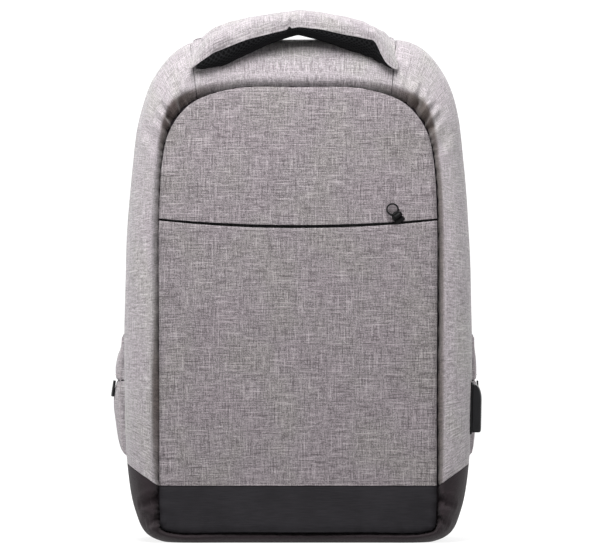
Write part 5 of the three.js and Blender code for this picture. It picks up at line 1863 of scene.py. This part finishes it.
def buildPort():
    form = portForm
    gap = bodyForm["layerGap"]
    frontOf = form["behind"] - form["wide"] / 2
    outward = lambda spot: Vector((1, 0, 0))
    uvOf = lambda a, b, places: (places[:, 1], places[:, 2])

    def at(rim, a, b, lift):
        height = mix(form["foot"] - rim, form["foot"] + form["high"] + rim, a)
        return sideFace(1, mix(frontOf - rim, frontOf + form["wide"] + rim, b), height, lift)

    flange = clothGrid(
        "port_flange_plastic", 40, 28, lambda a, b: at(form["rim"], a, b, gap + form["flange"]), uvOf, outward,
    )
    thicken(flange, form["flange"])
    soft = flange.modifiers.new("soft", "BEVEL")
    soft.width = 0.5 * mm
    soft.segments = 2
    settle(flange)
    finish(flange, mouldedPlastic, replaces=["port_flange"])

    seat = 2 * gap + form["flange"]

    def housing(a, b):
        a, b = easeEdges(a, 0.8), easeEdges(b, 0.8)
        fall = np.clip((a - 0.66) / 0.34, 0, 1)
        top = mix(0.12, 1, np.sqrt(np.maximum(0, 1 - fall * fall)))
        fromEdge = np.minimum(b, 1 - b) * form["wide"] / form["bevel"]
        fromFoot = a * form["high"] / form["bevel"]
        edge = 1 - 0.24 * (1 - np.sqrt(np.maximum(0, 1 - np.maximum(0, 1 - fromEdge) ** 2)))
        foot = 1 - 0.12 * (1 - np.sqrt(np.maximum(0, 1 - np.maximum(0, 1 - fromFoot) ** 2)))
        return at(0, a, b, seat + (form["proud"] - seat) * top * edge * foot)

    body = clothGrid("usb_port_plastic", 48, 36, housing, uvOf, outward)
    shape = bmesh.new()
    shape.from_mesh(body.data)
    rims = [edge for edge in shape.edges if edge.is_boundary]
    sunk = bmesh.ops.extrude_edge_only(shape, edges=rims)["geom"]
    for vert in (item for item in sunk if isinstance(item, bmesh.types.BMVert)):
        z, y = vert.co.z, vert.co.y
        vert.co = Vector(sideFace(1, np.array([y - frontY]), np.array([z]), seat)[0])
        vert.co.z, vert.co.y = z, y
    bmesh.ops.holes_fill(shape, edges=[edge for edge in shape.edges if edge.is_boundary], sides=0)
    shape.to_mesh(body.data)
    shape.free()
    socketX = float(sideFace(1, np.array([form["behind"]]), np.array([form["foot"]]), (form["proud"] + seat) / 2)[0][0])
    mouth = Matrix.Translation((socketX, frontY + form["behind"], form["foot"]))
    cutter = roundedBlock((form["socketThick"], form["socketWide"], 2 * form["socketDeep"]), 0.5 * mm, mouth)
    cut = body.modifiers.new("socket", "BOOLEAN")
    cut.object = cutter
    cut.solver = "EXACT"
    settle(body, 35)
    bpy.data.objects.remove(cutter)
    finish(body, mouldedPlastic, replaces=["usb_port"])

    # the socket's steel shell and its tongue
    inset = 0.5 * mm
    shell = []
    wide, thick, deep = form["socketWide"] - inset, form["socketThick"] - inset, form["socketDeep"] - 1 * mm
    wall = 0.3 * mm
    for size, shift in (
        ((wall, wide, deep), (-(thick - wall) / 2, 0)),
        ((wall, wide, deep), ((thick - wall) / 2, 0)),
        ((thick, wall, deep), (0, -(wide - wall) / 2)),
        ((thick, wall, deep), (0, (wide - wall) / 2)),
    ):
        move = Matrix.Translation((shift[0], shift[1], deep / 2 + 0.4 * mm))
        shell.append(roundedBlock(size, 0.1 * mm, mouth @ move, segments=1))
    steel = joinShapes("usb_shell", shell)
    finish(steel, socketSteel)
    tongue = roundedBlock(
        (1.6 * mm, 9.6 * mm, deep - 3 * mm), 0.2 * mm, mouth @ Matrix.Translation((0.7 * mm, 0, deep / 2 + 2 * mm)),
    )
    tongue.name = "usb_tongue"
    finish(tongue, mouldedPlastic)


seamShadeBlack = grained("seamTapePaintedShade", "#120d10", "#1c161a", 0.6 * mm, 0.8, specular=0.15)  # woven tape deep in a seam, dull; its near-black is painted shade for the seam's valley
blackTapeCord = grained("blackBindingTape", "#171719", "#29292c", 0.9 * mm, 0.6)  # grosgrain folded over an edge, dull

buildShell()
print("stage: shell")
buildFront()
buildFrontZip()
buildZipPull()
print("stage: front")
buildMainZip()
buildMainSliders()
buildBack()
print("stage: back")
buildHandle()
buildStrap(1, "right")
buildStrap(-1, "left")
buildStrapEnd(1, "right")
buildStrapEnd(-1, "left")
print("stage: handle and straps")
buildSidePocket(1, "right", 2.8 * mm, 1.4 * mm)
buildSidePocket(-1, "left", 7.6 * mm, 2 * mm)
buildPort()
makeStitches("grey", greyThread)
makeStitches("dark", darkThread)
makeStitches("black", blackThread)
print("stage: pockets, port and stitches")

# Floor, light and camera
studio = {
    "paper": "#626262",
    "glowNear": 0.86,  # the far paper glows more, in place of lamps of its own, so that it stays white to its edges
    "glowFar": 1.05,
    "nearRadius": 0.4,
    "farRadius": 2.4,
    "radius": 9.0,
    "bend": 1.2,
    "world": 0.06,
    "photoPixel": 0.85 * mm,  # one pixel of the picture on the bag's front plane
    "middleColumn": 298,
    "groundRow": 543,
    "distance": 6.0,
}
# lamp, place, size, power in watts
lampTable = [
    ("topLight", (-0.1, -0.3, 2.0), 1.3, 42),
    ("frontLight", (-0.25, -1.05, 1.6), 1.0, 40),
    ("leftLight", (-2.0, 1.0, 0.9), 1.5, 16),
    ("rightLight", (2.0, 1.0, 0.9), 1.5, 12),
    ("backLight", (0.3, 2.2, 1.2), 1.5, 30),
]


def buildStudio():
    # a round sheet of paper whose rim bends up, so that no horizon shows from any side
    flat = studio["radius"] - studio["bend"]
    profile = [(0, 0), (flat / 3, 0), (flat, 0)]
    for step in range(1, 13):
        angle = step / 12 * math.pi / 2
        profile.append((flat + studio["bend"] * math.sin(angle), studio["bend"] * (1 - math.cos(angle))))
    shape = bmesh.new()
    verts = [shape.verts.new((x, 0, z)) for x, z in profile]
    edges = [shape.edges.new(pair) for pair in zip(verts, verts[1:])]
    bmesh.ops.spin(
        shape, geom=verts + edges, angle=2 * math.pi, steps=64, axis=(0, 0, 1), cent=(0, 0, 0), use_merge=True,
    )
    bmesh.ops.remove_doubles(shape, verts=shape.verts, dist=0.1 * mm)
    bmesh.ops.recalc_face_normals(shape, faces=shape.faces)
    mesh = bpy.data.meshes.new("paper")
    shape.to_mesh(mesh)
    shape.free()
    mesh.polygons.foreach_set("use_smooth", [True] * len(mesh.polygons))
    paper = meshPiece("paper", mesh)
    material, tree, shader = newMaterial("glowingPaper", 0.9, specular=0.2)
    shader.inputs["Base Color"].default_value = linearColour(studio["paper"])
    shader.inputs["Emission Color"].default_value = (1, 1, 1, 1)
    spot = addNode(tree, "ShaderNodeTexCoord").outputs["Object"]
    away = addNode(tree, "ShaderNodeVectorMath", {"operation": "LENGTH"}, {0: spot})
    glow = addNode(
        tree, "ShaderNodeMapRange",
        {"From Min": studio["nearRadius"], "From Max": studio["farRadius"],
         "To Min": studio["glowNear"], "To Max": studio["glowFar"]},
        {"Value": away.outputs["Value"]},
    )
    tree.links.new(glow.outputs[0], shader.inputs["Emission Strength"])
    paper.data.materials.append(material)

    world = bpy.data.worlds.new("studio")
    scene.world = world
    world.use_nodes = True
    background = world.node_tree.nodes["Background"]
    background.inputs["Color"].default_value = (1, 1, 1, 1)
    background.inputs["Strength"].default_value = studio["world"]

    for name, place, size, power in lampTable:
        data = bpy.data.lights.new(name, "AREA")
        data.size = size
        data.energy = power
        light = bpy.data.objects.new(name, data)
        light.location = place
        aim = Vector((0, 0, 0.22)) - Vector(place)
        light.rotation_euler = aim.to_track_quat("-Z", "Y").to_euler()
        scene.collection.objects.link(light)

    data = bpy.data.cameras.new("camera")
    camera = bpy.data.objects.new("camera", data)
    scene.collection.objects.link(camera)
    pixel = studio["photoPixel"]
    reach = studio["distance"] + frontY
    data.sensor_width = 36
    data.lens = data.sensor_width * reach / (600 * pixel)
    camera.location = ((300 - studio["middleColumn"]) * pixel, -studio["distance"], (studio["groundRow"] - 275) * pixel)
    camera.rotation_euler = (math.pi / 2, 0, 0)
    data.clip_end = 100
    scene.camera = camera


buildStudio()
print("stage: studio")
